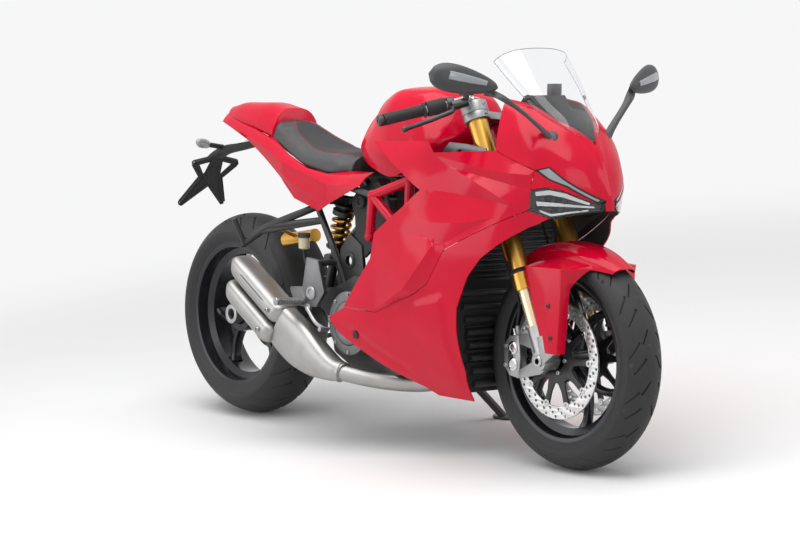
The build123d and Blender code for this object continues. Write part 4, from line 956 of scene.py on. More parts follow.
def filled(
    outline: Sequence[Point], lines: Sequence[Sequence[Point]], spacing: float, holes: Sequence[Sequence[Point]] = ()
) -> tuple[np.ndarray, list[tuple[int, ...]]]:
    """Triangles over a drawn outline, with edges along its lines.

    Args:
        outline: Closed loop.
        lines: Open lines that edges follow.
        spacing: Distance between inner points.
        holes: Closed loops left open.

    Returns:
        Points and triangles.
    """
    loops = [resampled(outline, spacing)] + [resampled(hole, spacing * 0.5) for hole in holes]
    creases = [resampled(line, spacing, closed=False) for line in lines]
    points, edges = [], []
    for loop in loops:
        start = len(points)
        points += list(loop)
        edges += [(start + step, start + (step + 1) % len(loop)) for step in range(len(loop))]
    for line in creases:
        start = len(points)
        points += list(line)
        edges += [(start + step, start + step + 1) for step in range(len(line) - 1)]
    low, high = loops[0].min(0), loops[0].max(0)
    across, up = np.meshgrid(np.arange(low[0], high[0], spacing), np.arange(low[1], high[1], spacing * 0.87))
    across = across + (np.arange(up.shape[0]) % 2)[:, None] * spacing / 2
    inner = np.column_stack([across.ravel(), up.ravel()])
    inner = inner[inside(inner, loops[0])]
    for loop in loops:
        inner = inner[distance(inner, loop) > spacing * 0.5]
    for line in creases:
        inner = inner[distance(inner, line, False) > spacing * 0.45]
    points += list(inner)
    found = delaunay_2d_cdt([Vector(place) for place in points], edges, [], 0, 1e-4)
    drawn = np.array([place[:] for place in found[0]])
    middles = np.array([drawn[list(face)].mean(0) for face in found[2]])
    kept = inside(middles, loops[0])
    for loop in loops[1:]:
        kept &= ~inside(middles, loop)
    return drawn, [tuple(face) for face, keep in zip(found[2], kept) if keep]


@dataclass(frozen=True)
class Crease:
    """A drawn facet that stands out of a panel, or in.

    Attributes:
        corners: Side-view corners and how far each stands out.
        wall: Width over which the facet rises from its own edge; 0 leaves the edge flush.
    """

    corners: Sequence[tuple[float, float, float]]
    wall: float = 0.0

    def loop(self) -> np.ndarray:
        """The facet's outline."""
        return np.array([corner[:2] for corner in self.corners], float)

    def inset(self) -> list[Point]:
        """The outline drawn in by the wall's width, or out where that is negative."""
        return [tuple(place) for place in self.lines()[1][:-1]]

    def lines(self) -> list[np.ndarray]:
        """Lines that a panel's edges follow: the outline and the foot of its wall."""
        loop = self.loop()
        closed = np.vstack([loop, loop[:1]])
        if not self.wall:
            return [closed]
        ahead = np.roll(loop, -1, axis=0) - loop
        ahead /= np.linalg.norm(ahead, axis=1)[:, None]
        turn = np.sign(np.sum(loop[:, 0] * np.roll(loop[:, 1], -1) - loop[:, 1] * np.roll(loop[:, 0], -1)))
        normal = np.column_stack([-ahead[:, 1], ahead[:, 0]]) * turn
        before = np.roll(normal, 1, axis=0)
        middle = normal + before
        middle /= np.maximum(np.sum(middle * normal, axis=1), 0.35)[:, None]
        foot = loop + middle * self.wall
        return [closed, np.vstack([foot, foot[:1]])]

    def offset(self, drawn: np.ndarray) -> np.ndarray:
        """How far the panel stands out at side-view points, nothing outside the facet."""
        loop = self.loop()
        heights = np.array([corner[2] for corner in self.corners], float)
        within = inside(drawn, loop) | (distance(drawn, loop) < 0.01)
        found = np.full(len(drawn), np.nan)
        chosen = drawn[within]
        spokes = loop[None] - chosen[:, None]
        reach = np.maximum(np.linalg.norm(spokes, axis=2), 1e-6)
        after = np.roll(spokes, -1, axis=1)
        cross = spokes[..., 0] * after[..., 1] - spokes[..., 1] * after[..., 0]
        dots = np.sum(spokes * after, axis=2)
        half = np.tan(np.arctan2(cross, dots) / 2)
        weight = (np.roll(half, 1, axis=1) + half) / reach
        total = weight.sum(1)
        total = np.where(np.abs(total) < 1e-9, 1e-9, total)
        value = np.clip((weight * heights).sum(1) / total, heights.min(), heights.max())
        value = np.where(reach.min(1) < 0.01, heights[reach.argmin(1)], value)
        if self.wall:
            value = value * np.clip(distance(chosen, loop) / self.wall, 0.0, 1.0)
        found[within] = value
        return found

    @staticmethod
    def all_of(creases: Sequence["Crease"], drawn: np.ndarray) -> np.ndarray:
        """How far a panel stands out at side-view points; where facets meet, the first one counts."""
        found = np.full(len(drawn), np.nan)
        for crease in creases:
            found = np.where(np.isnan(found), crease.offset(drawn), found)
        return np.nan_to_num(found)


def polar(centre: Point, far: float, turn: float) -> Point:
    """Point on a plane by its distance and angle from a centre."""
    return centre[0] + far * math.cos(turn), centre[1] + far * math.sin(turn)


def circle(radius: float, count: int, centre: Point = (0.0, 0.0), start: float = 0.0) -> list[Point]:
    """Points of a circle on a plane."""
    return [polar(centre, radius, start + math.tau * step / count) for step in range(count)]


def ramp(value: float, start: float, length: float) -> float:
    """Nothing up to a start, then 1 for each length past it."""
    return max(0.0, (value - start) / length)


def eased(share: float) -> float:
    """A share from 0 to 1 with level ends."""
    return share * share * (3.0 - 2.0 * share)


def rounded(half_a: float, half_b: float, power: float, count: int = 24) -> np.ndarray:
    """Points of a rounded oblong on a plane; a higher power is squarer."""
    turns = np.linspace(0.0, math.tau, count, endpoint=False)
    cos, sin = np.cos(turns), np.sin(turns)
    a = half_a * np.sign(cos) * np.abs(cos) ** (2.0 / power)
    b = half_b * np.sign(sin) * np.abs(sin) ** (2.0 / power)
    return np.column_stack([a, b])


@dataclass(frozen=True)
class Section:
    """One oblong section of a swept limb.

    Attributes:
        centre: Its middle.
        a_way: Direction of its first half size.
        b_way: Direction of its second half size.
        half_a: First half size.
        half_b: Second half size.
        power: How square it is.
    """

    centre: Point
    a_way: Point
    b_way: Point
    half_a: float
    half_b: float
    power: float = 2.6

    def ring(self, count: int) -> np.ndarray:
        """Its points."""
        drawn = rounded(self.half_a, self.half_b, self.power, count)
        along = np.array(self.centre) + np.outer(drawn[:, 0], Vector(self.a_way))
        return along + np.outer(drawn[:, 1], Vector(self.b_way))


def limb(sections: Sequence[Section], steps: int = 0, count: int = 24) -> Form:
    """Sweeps through sections, with smooth steps between them."""
    rows = np.array([section.ring(count) for section in sections])
    if steps:
        knots = np.arange(len(rows), dtype=float)
        rows = pchip(knots, rows, np.linspace(0.0, len(rows) - 1.0, (len(rows) - 1) * steps + 1))
    return Form.grid(rows, ring=True, caps=True)


@dataclass
class Wheel:
    """A road wheel: tyre with cut tread, and a cast rim with three forked spokes.

    Attributes:
        name: Front or rear.
        body: The wheel's body.
        axle: Its centre.
        radius: Tyre's outer radius.
        half: Half of the tyre's width.
        drop: Fall of the tread from its crown to its edge.
        rim_half: Half of the rim's width.
        hub: Hub's radius.
        hub_span: Hub's ends along the axle.
        spoke: Half of a spoke's thickness.
        sectors: Repeats of the tread pattern.
        turn: Angle of the first spoke from straight up.
        groove: Half width of the tread's grooves.
        groove_depth: Their depth.
    """

    name: str
    body: Body
    axle: Vector
    radius: float
    half: float
    drop: float
    rim_half: float
    hub: float
    hub_span: tuple[float, float]
    spoke: float
    sectors: int
    turn: float
    groove: float = 3.6
    groove_depth: float = 4.2

    def build(self) -> None:
        """Builds the tyre and the rim."""
        Piece(f"{self.name}_tyre_road", self.body, Finishes.TYRE, (f"{self.name}_tyre",), smooth=32.0,
              outward=False).make(Form.joined([self._tread(), self._walls()]))
        rim = Form.joined([self._barrel(), self._spokes(), self._hub(), self._valve()])
        Piece(f"{self.name}_rim_cast", self.body, Finishes.WHEEL, (f"{self.name}_rim",), smooth=40.0).make(rim)

    def _tread(self) -> Form:
        """One sector of tread with its grooves, repeated round the axle."""
        crown = (self.half**2 + self.drop**2) / (2 * self.drop)
        reach = crown * math.asin(self.half / crown)
        length = math.tau * self.radius / self.sectors

        def slanted(along: float, across: float) -> tuple[float, float]:
            """Place on the unrolled tread, by shares of a sector's length and of the half width."""
            return along * length + 0.5 * length * abs(across), across * reach

        edge = [slanted(0.0, across) for across in (-1.0, -0.5, 0.0, 0.5, 1.0)]
        outline = [*edge, *[(along + length, across) for along, across in reversed(edge)]]
        grooves = []
        for hand, shift in ((1, 0.0), (-1, 0.5)):
            for track in (((0.2, 0.1), (0.33, 0.4), (0.24, 0.48), (0.36, 0.92)), ((0.66, 0.3), (0.76, 0.74))):
                line = np.array([slanted((along + shift) % 1.0, hand * across) for along, across in track])
                grooves.append(self._groove(line))
        drawn, faces = filled(outline, [line for groove in grooves for line in groove.lines()], self.half / 9.0)
        sunk = Crease.all_of(grooves, drawn)
        turn = drawn[:, 0] / self.radius
        radius = self.radius - crown + crown * np.cos(drawn[:, 1] / crown) + sunk
        points = np.column_stack([radius * np.sin(turn), crown * np.sin(drawn[:, 1] / crown), radius * np.cos(turn)])
        return REPEATS.ring(Form(points, faces), self.sectors, self.axle, Finishes.TYRE)

    def _groove(self, line: np.ndarray) -> Crease:
        """A groove that tapers at both ends of a line."""
        ahead = np.gradient(line, axis=0)
        ahead /= np.linalg.norm(ahead, axis=1)[:, None]
        across = np.column_stack([-ahead[:, 1], ahead[:, 0]])
        widths = np.array([0.5] + [1.0] * (len(line) - 2) + [0.5]) if len(line) > 2 else np.array([1.0, 0.5])
        reach = across * (self.groove * widths)[:, None]
        left, right = line + reach, line - reach
        loop = np.vstack([left, right[::-1]])
        return Crease([(place[0], place[1], -self.groove_depth) for place in loop], 0.9)

    def _walls(self) -> Form:
        """Both side walls, with moulded rings."""
        shoulder, bead = self.radius - self.drop, RIM_BEAD
        profile = []
        for step in range(29):
            share = step / 28
            ridge = 0.8 if 5 <= step <= 17 and step % 4 in (1, 2) else 0.0
            width = self.half + (self.rim_half + 4.0 - self.half) * share**1.7 + 2.4 * math.sin(math.pi * share)
            profile.append((width + ridge, shoulder + (bead - shoulder) * share))
        return Form.lathe(profile, self.axle, SIDE, 144).both()

    def _barrel(self) -> Form:
        """The rim's barrel as a closed ring."""
        half = self.rim_half
        outside = [(half + 5, 228), (half + 1.5, 229), (half, RIM_BEAD), (half, 217), (0.58 * half, 215),
                   (0.42 * half, 196)]
        inward = [(0.42 * half, 187), (0.58 * half, 206), (half, 210), (half + 3.5, 211), (half + 5.5, 214)]
        right = [(-far, radius) for far, radius in reversed(outside)]
        right_in = [(-far, radius) for far, radius in reversed(inward)]
        loop = [*outside, *right, *right_in, *inward]
        return Form.lathe([*loop, loop[0]], self.axle, SIDE, 120)

    def _spokes(self) -> Form:
        """Three spokes, each of two arms that part on their way to the rim."""
        radii = np.array([self.hub * 0.7, 74.0, 102.0, 136.0, 170.0, 192.0])
        angles = np.radians([2.0, 5.0, 8.5, 15.0, 22.0, 26.5])
        halves = np.array([17.0, 14.0, 11.5, 10.0, 11.0, 17.0])
        depths = np.array([1.55, 1.3, 1.1, 1.0, 1.0, 1.25]) * self.spoke
        knots = np.arange(6.0)
        fine = np.linspace(0.0, 5.0, 26)
        table = pchip(knots, np.column_stack([radii, angles, halves, depths]), fine)
        path = np.column_stack([table[:, 0] * np.sin(table[:, 1]), table[:, 0] * np.cos(table[:, 1])])
        ahead = np.gradient(path, axis=0)
        ahead /= np.linalg.norm(ahead, axis=1)[:, None]
        sections = [
            Section((place[0], 0.0, place[1]), (way[1], 0.0, -way[0]), (0, 1, 0), row[2], row[3], 3.4)
            for place, way, row in zip(path, ahead, table)
        ]
        arm = limb(sections, count=28)
        other = Form(arm.points * (-1.0, 1.0, 1.0), [face[::-1] for face in arm.faces])
        pair = Form.joined([arm, other]).moved(Matrix.Rotation(self.turn, 4, "Y"))
        return REPEATS.ring(pair, 3, self.axle, Finishes.WHEEL)

    def _hub(self) -> Form:
        """The hub, hollow round its bearing seats."""
        low, high = self.hub_span
        bore = 0.62 * self.hub
        profile = [(low, bore), (low, self.hub - 2), (low + 2, self.hub), (high - 2, self.hub), (high, self.hub - 2),
                   (high, bore), (high - 9, bore - 2), (low + 9, bore - 2), (low, bore)]
        return Form.lathe(profile, self.axle, SIDE, 72)

    def _valve(self) -> Form:
        """The tyre valve with its cap."""
        foot = self.axle + Vector((math.sin(0.9), 0.0, math.cos(0.9))) * 190.0
        way = self.axle - foot
        profile = [(0, 0), (0, 6), (4, 6), (5, 3.4), (24, 3.2), (24, 4.4), (36, 4.2), (38, 2), (38, 0)]
        return Form.lathe(profile, foot, way, 16)


@dataclass
class Brakes:
    """Drilled discs and the front ones' carriers.

    Attributes:
        front_radius: Front discs' outer radius.
        rear_radius: Rear disc's outer radius.
        track: Width of a disc's braking ring.
        front_side: Distance of the front discs from the middle.
        rear_side: Place of the rear disc along its axle.
        hole: Radius of the drilled holes.
        arms: Arms of a carrier, with a bobbin on each.
        bobbin_ring: Radius of the bobbins' ring.
    """

    front_radius: float = 160.0
    rear_radius: float = 120.0
    track: float = 34.0
    front_side: float = 63.5
    rear_side: float = 68.5
    hole: float = 4.1
    arms: int = 10
    bobbin_ring: float = 125.0

    def build(self) -> None:
        """Builds the discs of both wheels."""
        rotors, spiders, pins = [], [], []
        for side in (-self.front_side, self.front_side):
            rotors.append(self._rotor(FRONT_AXLE, self.front_radius, side, 5.0, 75, (133, 143, 153)))
            spiders.append(self._spider(side))
            pins.append(self._bobbins(side))
        Piece("front_discs_drilled", Body.FRONT_WHEEL, Finishes.DISC, ("front_discs",)).make(Form.joined(rotors))
        Piece("front_disc_carriers", Body.FRONT_WHEEL, Finishes.BLACK_METAL, smooth=30).make(Form.joined(spiders))
        Piece("front_disc_bobbins", Body.FRONT_WHEEL, Finishes.BRIGHT).make(Form.joined(pins))
        spots = [(FRONT_AXLE + Vector((36 * math.cos(turn), side + math.copysign(4.0, side), 36 * math.sin(turn))),
                  (0, side, 0)) for side in (-self.front_side, self.front_side)
                 for turn in np.arange(5) * math.tau / 5]
        bolts("front_disc_bolts", Body.FRONT_WHEEL, spots, 6.0)
        rear = self._rotor(REAR_AXLE, self.rear_radius, self.rear_side, 5.0, 40, (94, 103, 112))
        Piece("rear_disc_drilled", Body.REAR_WHEEL, Finishes.DISC_REAR, ("rear_disc",)).make(rear)

    def _rotor(self, axle: Vector, radius: float, side: float, thick: float, count: int,
               rows: Sequence[float]) -> Form:
        """A wavy drilled ring on its plane."""
        centre = (axle.x, axle.z)
        steps = 160
        outer = [polar(centre, radius - 1.6 * (step % 8 == 0), math.tau * step / steps) for step in range(steps)]
        inner = radius - self.track
        loops = [outer, circle(inner, 96, centre)]
        for step in range(count):
            spot = polar(centre, rows[step % len(rows)], math.tau * step / count)
            loops.append(circle(self.hole, 12, spot))
        ring = Form.plate(loops, thick, 0.5, side_plane(side))
        if axle is FRONT_AXLE:
            return ring
        star = [polar(centre, 46 if step % 4 < 2 else inner + 4, math.tau * (step + 0.5) / 20) for step in range(20)]
        return Form.joined([ring, Form.plate([star, circle(24, 48, centre)], 4.0, 0.5, side_plane(side))])

    def _spider(self, side: float) -> Form:
        """Dark carrier with its arms."""
        centre = (FRONT_AXLE.x, FRONT_AXLE.z)
        corners = ((64, -0.2), (90, -0.09), (121, -0.075), (121, 0.075), (90, 0.09), (64, 0.2))
        drawn = [polar(centre, far, math.tau * arm / self.arms + turn)
                 for arm in range(self.arms) for far, turn in corners]
        return Form.plate([drawn, circle(28.5, 48, centre)], 6.0, 1.0, side_plane(side))

    def _bobbins(self, side: float) -> Form:
        """Hollow bobbins between disc and carrier."""
        profile = [(-4.4, 3.5), (-4.4, 9.0), (-3.2, 9.8), (3.2, 9.8), (4.4, 9.0), (4.4, 3.5), (-4.4, 3.5)]
        pin = Form.lathe(profile, (self.bobbin_ring, side, 0.0), SIDE, 24)
        return REPEATS.ring(pin, self.arms, FRONT_AXLE, Finishes.BRIGHT)


@dataclass
class FrontEnd:
    """Fork, bars, controls and front mudguard.

    Attributes:
        half_spacing: Side of each fork leg.
        crown: Outer radius of the mudguard over the tyre.
        skirt: Half width of the mudguard at its skirt.
        bow: Half width of its crown.
        arc: Its ends by their angles from the top, the front one positive.
        leg_side: Side of the mudguard's legs.
        bar_inner: Inner end of the right handlebar.
        bar_outer: Its outer end.
    """

    half_spacing: float = 103.0
    crown: float = 314.0
    skirt: float = 69.0
    bow: float = 65.0
    arc: tuple[float, float] = (-34.0, 38.0)
    leg_side: float = 135.0
    bar_inner: Vector = field(default_factory=lambda: Vector((448.0, -134.0, 990.0)))
    bar_outer: Vector = field(default_factory=lambda: Vector((352.0, -356.0, 934.0)))

    def build(self) -> None:
        """Builds and dresses the front end."""
        dress(Finishes.GOLD, "fork_tubes")
        dress(Finishes.SLIDER, "fork_sliders")
        dress(Finishes.STEEL, "front_axle")
        for node, finish, bevel in (
            ("fork_feet", Finishes.SILVER, 3.0), ("lower_clamp", Finishes.SILVER, 2.5),
            ("upper_clamp", Finishes.SILVER, 2.5), ("clip_ons", Finishes.SILVER, 2.0),
            ("switch_blocks", Finishes.BLACK, 2.5), ("levers", Finishes.DARK_STEEL, 1.6),
            ("front_calipers", Finishes.SILVER, 3.5),
        ):
            softened(node, Body.FORK, finish, bevel)
        self._fork_trim()
        self._caliper_trim()
        self._grips()
        self._hoses()
        self._mudguard()

    def _fork_trim(self) -> None:
        """Seals, adjuster caps, reflectors, clamp bolts and axle ends."""
        rings, caps, lamps = [], [], []
        for side in (-self.half_spacing, self.half_spacing):
            for height, radius, length in ((246, 30.5, 6), (254, 27.5, 5), (430, 28.5, 6)):
                start = fork_point(height, side)
                profile = [(0, radius - 4), (0, radius - 1), (1, radius), (length - 1, radius), (length, radius - 1),
                           (length, radius - 4)]
                rings.append(Form.lathe([*profile, profile[0]], start, STEER_UP, 48))
            top = fork_point(750, side)
            caps.append(Form.lathe([(0, 0), (0, 22), (3, 22), (5, 19), (5, 13), (8, 12), (8, 0)], top, STEER_UP, 36))
            caps.append(Form.lathe([(8, 0), (8, 9), (13, 9), (14, 7.5), (14, 0)], top, STEER_UP, 6))
            plane = upright(fork_point(330, side, -31), STEER_UP, (0, math.copysign(1, side), 0))
            shape = rounded(34, 10, 4.5, 32)
            lamps.append(Form.plate([shape], 7, 1.5, plane, 2))
        Piece("fork_seals", Body.FORK, Finishes.BLACK).make(Form.joined(rings))
        Piece("fork_caps", Body.FORK, Finishes.BRIGHT).make(Form.joined(caps))
        Piece("fork_reflectors", Body.FORK, Finishes.AMBER).make(Form.joined(lamps))
        spots = []
        for side in (-1, 1):
            for height in (479, 495):
                spots.append((fork_point(height, side * (self.half_spacing - 6), 37), STEER_AHEAD))
            spots.append((fork_point(701, side * (self.half_spacing - 6), 36), STEER_AHEAD))
            spots.append((fork_point(727, side * (self.half_spacing - 4), 37), STEER_AHEAD))
        bolts("clamp_bolts", Body.FORK, spots, 5.0)
        end = Form.lathe([(0, 8.2), (0, 13), (2, 15.5), (6, 15.5), (8, 13.5), (8, 8.2), (0, 8.2)],
                         FRONT_AXLE + SIDE * 129, SIDE, 40)
        Piece("axle_ends", Body.FORK, Finishes.STEEL).make(end.both())

    def _caliper_trim(self) -> None:
        """Caliper pistons, bleed nipples, openings and bolts."""
        parts = []
        for turn in (0.16, -0.16):
            centre = FRONT_AXLE + Vector((-140.0 * math.cos(turn), 98.0, 140.0 * math.sin(turn)))
            parts.append(Form.lathe([(-2, 0), (-2, 18), (2.5, 18), (4, 16), (4, 11), (2, 10), (2, 0)], centre, SIDE,
                                    36))
        slot = [(FRONT_AXLE.x - 148 + 9 * math.cos(turn), FRONT_AXLE.z + 20 * math.sin(turn))
                for turn in np.linspace(0, math.tau, 28, endpoint=False)]
        opening = Form.plate([slot], 3.0, 0.6, side_plane(98.4))
        nipple = FRONT_AXLE + Vector((-152.0, 78.0, 52.0))
        parts.append(Form.lathe([(0, 0), (0, 5), (6, 5), (7, 3), (15, 3), (15, 4), (20, 3.5), (20, 0)], nipple,
                                (-0.3, 0, 1), 16))
        Piece("caliper_pistons", Body.FORK, Finishes.BRIGHT).make(Form.joined(parts).both())
        Piece("caliper_openings", Body.FORK, Finishes.BLACK).make(opening.both())
        spots = [(FRONT_AXLE + Vector((-166.0, side * 98.0, rise)), (0, side, 0)) for side in (-1, 1)
                 for rise in (-26, 26)]
        bolts("caliper_bolts", Body.FORK, spots, 6.0)

    def _grips(self) -> None:
        """Ribbed grips with their flanges and end weights."""
        way = self.bar_outer - self.bar_inner
        length = way.length
        start = length - 126.0
        profile = [(start, 11.2), (start, 20.5), (start + 1.5, 21.5), (start + 4, 21.5), (start + 6, 17.5)]
        for rib in range(24):
            place = start + 8 + rib * 4.4
            profile += [(place, 15.6), (place + 0.6, 16.5), (place + 2.8, 16.5), (place + 3.4, 15.6)]
        profile += [(length - 9, 16.5), (length - 8, 11.2), (start, 11.2)]
        grip = Form.lathe(profile, self.bar_inner, way, 40)
        Piece("grips_ribbed", Body.FORK, Finishes.GRIP, ("grips",)).make(grip.both())
        weight = [(length - 8, 0), (length - 8, 14), (length - 6, 15.5), (length + 6, 15.5), (length + 9, 12),
                  (length + 9, 5), (length + 5, 4), (length + 5, 0)]
        Piece("bar_ends", Body.FORK, Finishes.DARK_STEEL).make(Form.lathe(weight, self.bar_inner, way, 36).both())

    def _hoses(self) -> None:
        """Brake hoses from the calipers to the lower clamp."""
        hoses, unions = [], []
        for side in (-1.0, 1.0):
            low = FRONT_AXLE + Vector((-150.0, side * 70.0, 60.0))
            points = [low, low + Vector((-6, 4 * side, 30)), fork_point(170, side * 78, -52),
                      fork_point(270, side * 88, -70), fork_point(400, side * 80, -58),
                      fork_point(476, side * 52, -30), fork_point(486, side * 26, 8)]
            hoses.append(Form.pipe(points, 3.6, 4, 4))
            unions.append(Form.rod(low - Vector((0, 0, 8)), low + Vector((-2, 2 * side, 20)), 6.0, 1.2, 6))
        Piece("brake_hoses", Body.FORK, Finishes.BLACK).make(Form.joined(hoses))
        Piece("hose_unions", Body.FORK, Finishes.STEEL).make(Form.joined(unions))

    def _mudguard(self) -> None:
        """Crowned arch over the tyre that flows into a leg down to each fork foot."""
        turns = np.linspace(*self.arc, 61)
        edge =  np.array([self._skirt(turn) for turn in turns])
        shares, fold = np.linspace(0.0, 1.0, 25), 0.8
        rows = []
        for turn, (x_end, y_end, z_end) in zip(turns, edge):
            angle = math.radians(turn)
            lip = 4.0 * ramp(turn, 27.0, 11.0) ** 2
            narrow = 1.0 - 0.42 * ramp(turn, 12.0, 26.0) ** 2 - 0.12 * ramp(-turn, 18.0, 16.0) ** 2
            bow = np.minimum(shares / fold, 1.0) * math.pi / 2
            side = self.bow * narrow * np.sin(bow)
            ridge = 2.2 * np.exp(-(((shares - 0.3) / 0.07) ** 2))
            depth = 42.0 - 30.0 * ramp(turn, 4.0, 34.0) ** 2
            radius = self.crown + lip + ridge - depth * (1.0 - np.cos(bow) ** 0.85)
            row = np.column_stack([FRONT_AXLE.x + radius * math.sin(angle), side,
                                   FRONT_AXLE.z + radius * math.cos(angle)])
            skirt = np.clip((shares - fold) / (1.0 - fold), 0.0, 1.0)[:, None]
            rows.append(row + (np.array((x_end, y_end, z_end)) - row) * skirt)
        half = Form.joined([Form.grid(rows), self._leg(edge[15:52])])
        Piece("front_fender_shell", Body.FORK, Finishes.RED, ("front_fender",), wall=3.0, outward=False, smooth=34,
              inner=Finishes.BLACK).make(half.flipped().both())
        spots = [(FRONT_AXLE + Vector((along, side * 136.0, rise)), (0, side, 0)) for side in (-1, 1)
                 for along, rise in ((52.0, 66.0), (44.0, 150.0))]
        bolts("mudguard_bolts", Body.FORK, spots, 6.0, Finishes.DARK_STEEL)

    def _skirt(self, turn: float) -> tuple[float, float, float]:
        """Lower edge of the left skirt at an angle from the top, in degrees."""
        out = min(1.0, ramp(turn, -19.0, 9.0)) * min(1.0, ramp(-turn, -28.0, 9.0))
        out = eased(out)
        shallow = ramp(turn, 4.0, 34.0) ** 2 * 45.0 + ramp(-turn, 22.0, 12.0) * 20.0
        radius = self.crown - 58.0 + shallow
        narrow = 1.0 - 0.42 * ramp(turn, 12.0, 26.0) ** 2 - 0.14 * ramp(-turn, 22.0, 12.0)
        plain = np.array((radius * math.sin(math.radians(turn)), self.skirt * narrow,
                          radius * math.cos(math.radians(turn))))
        flared = np.array((-50.0 + (turn + 10.0) * 4.9, self.leg_side, 250.0))
        found = plain + (flared - plain) * out + np.array(FRONT_AXLE)
        return tuple(found)

    def _leg(self, top: np.ndarray) -> Form:
        """The left leg: side face and turned front face, from the skirt's edge down to the foot."""
        count = len(top)
        shares = np.linspace(0.0, 1.0, count)
        rows = []
        for fall in np.linspace(0.0, 1.0, 31):
            rear, ahead = -58.0 + 74.0 * fall, 92.0 - 18.0 * fall
            along = np.interp(shares, (0.0, 0.1, 0.8, 1.0), (rear, rear + 4.0, ahead, ahead + 5.0))
            out = np.interp(shares, (0.0, 0.06, 0.45, 0.8, 1.0), (118.0, 132.0, 137.0, 135.0, 104.0 + 6.0 * fall))
            down = FRONT_AXLE.z + 250.0 - 226.0 * fall
            section = np.column_stack([FRONT_AXLE.x + along, out, np.full(count, down)])
            blend = eased(min(1.0, fall / 0.26))
            kept = top.copy()
            kept[:, 2] = top[:, 2] + (down - top[:, 2]) * min(1.0, fall * 3.0)
            rows.append(kept + (section - kept) * blend)
        return Form.grid(np.array(rows).transpose(1, 0, 2))


def chain_path(axle: Vector, radius: float, first: float, last: float, count: int) -> list[Point]:
    """Points of an arc at the chain's side, by angles in degrees from the forward direction."""
    turns = np.radians(np.linspace(first, last, count))
    return [(axle.x + radius * math.cos(turn), axle.y, axle.z + radius * math.sin(turn)) for turn in turns]


@dataclass
class Drive:
    """Roller chain, sprocket and the rear wheel's nut.

    Attributes:
        side: Distance of the chain from the middle.
        pitch: Chain's pitch.
        rear_radius: Rear sprocket's pitch radius.
        front_radius: Front sprocket's pitch radius.
        front_centre: Front sprocket's centre.
    """

    side: float = 142.0
    pitch: float = 15.875
    rear_radius: float = 108.75
    front_radius: float = 38.18
    front_centre: tuple[float, float, float] = (-104.0, 142.0, 384.0)

    def build(self) -> None:
        """Builds the chain link by link and dresses the hub pieces."""
        dress(Finishes.STEEL, "rear_sprocket", "rear_hub")
        softened("wheel_nut", Body.REAR_WHEEL, Finishes.SILVER, 1.2)
        rear = Vector((REAR_AXLE.x, self.side, REAR_AXLE.z))
        path = [*chain_path(rear, self.rear_radius, 96, 276, 60),
                *chain_path(Vector(self.front_centre), self.front_radius, -84, 96, 30)]
        knots = np.array(path)
        length = float(np.linalg.norm(np.roll(knots, -1, axis=0) - knots, axis=1).sum())
        links = 2 * round(length / self.pitch / 2)
        half = self.pitch / 2
        forms = []
        for phase, offset in ((0, 5.2), (1, 3.6)):
            outline = [*circle(6.6, 10, (half, 0), -math.pi / 2)[:6], *circle(6.6, 10, (-half, 0), math.pi / 2)[:6]]
            link = Form.joined([Form.plate([outline], 1.5, 0.3, side_plane(side)) for side in (-offset, offset)])
            forms.append(REPEATS.along(link, path, links, Finishes.DARK_STEEL, 2, phase, closed=True))
        roller = Form.rod((half, -6.6, 0), (half, 6.6, 0), 3.2, 0.5, 10)
        forms.append(REPEATS.along(roller, path, links, Finishes.DARK_STEEL, 1, 0, closed=True))
        Piece("chain_links", Body.CHASSIS, Finishes.DARK_STEEL, ("chain",)).make(Form.joined(forms))


SHELL = Skin([
    (-70, (150, 170), (205, 260), (222, 370), (215, 560), (200, 720), (165, 880), (60, 960), (0, 968)),
    (150, (130, 160), (205, 250), (240, 390), (236, 580), (222, 730), (178, 880), (60, 975), (0, 984)),
    (330, (115, 155), (190, 245), (240, 390), (250, 590), (232, 735), (188, 870), (60, 990), (0, 1000)),
    (500, (95, 150), (165, 240), (222, 390), (240, 590), (218, 720), (178, 860), (100, 1000), (0, 1014)),
    (640, (70, 150), (120, 240), (180, 390), (208, 600), (195, 715), (165, 855), (104, 982), (0, 1000)),
    (735, (45, 300), (80, 450), (120, 600), (146, 690), (160, 760), (148, 850), (92, 926), (0, 944)),
    (800, (30, 500), (50, 600), (90, 665), (104, 690), (118, 760), (102, 830), (48, 874), (0, 884)),
    (850, (18, 600), (30, 640), (44, 670), (52, 690), (56, 750), (46, 784), (18, 808), (0, 812)),
    (872, (4, 640), (8, 665), (11, 685), (15, 700), (16, 716), (12, 728), (5, 740), (0, 741)),
])


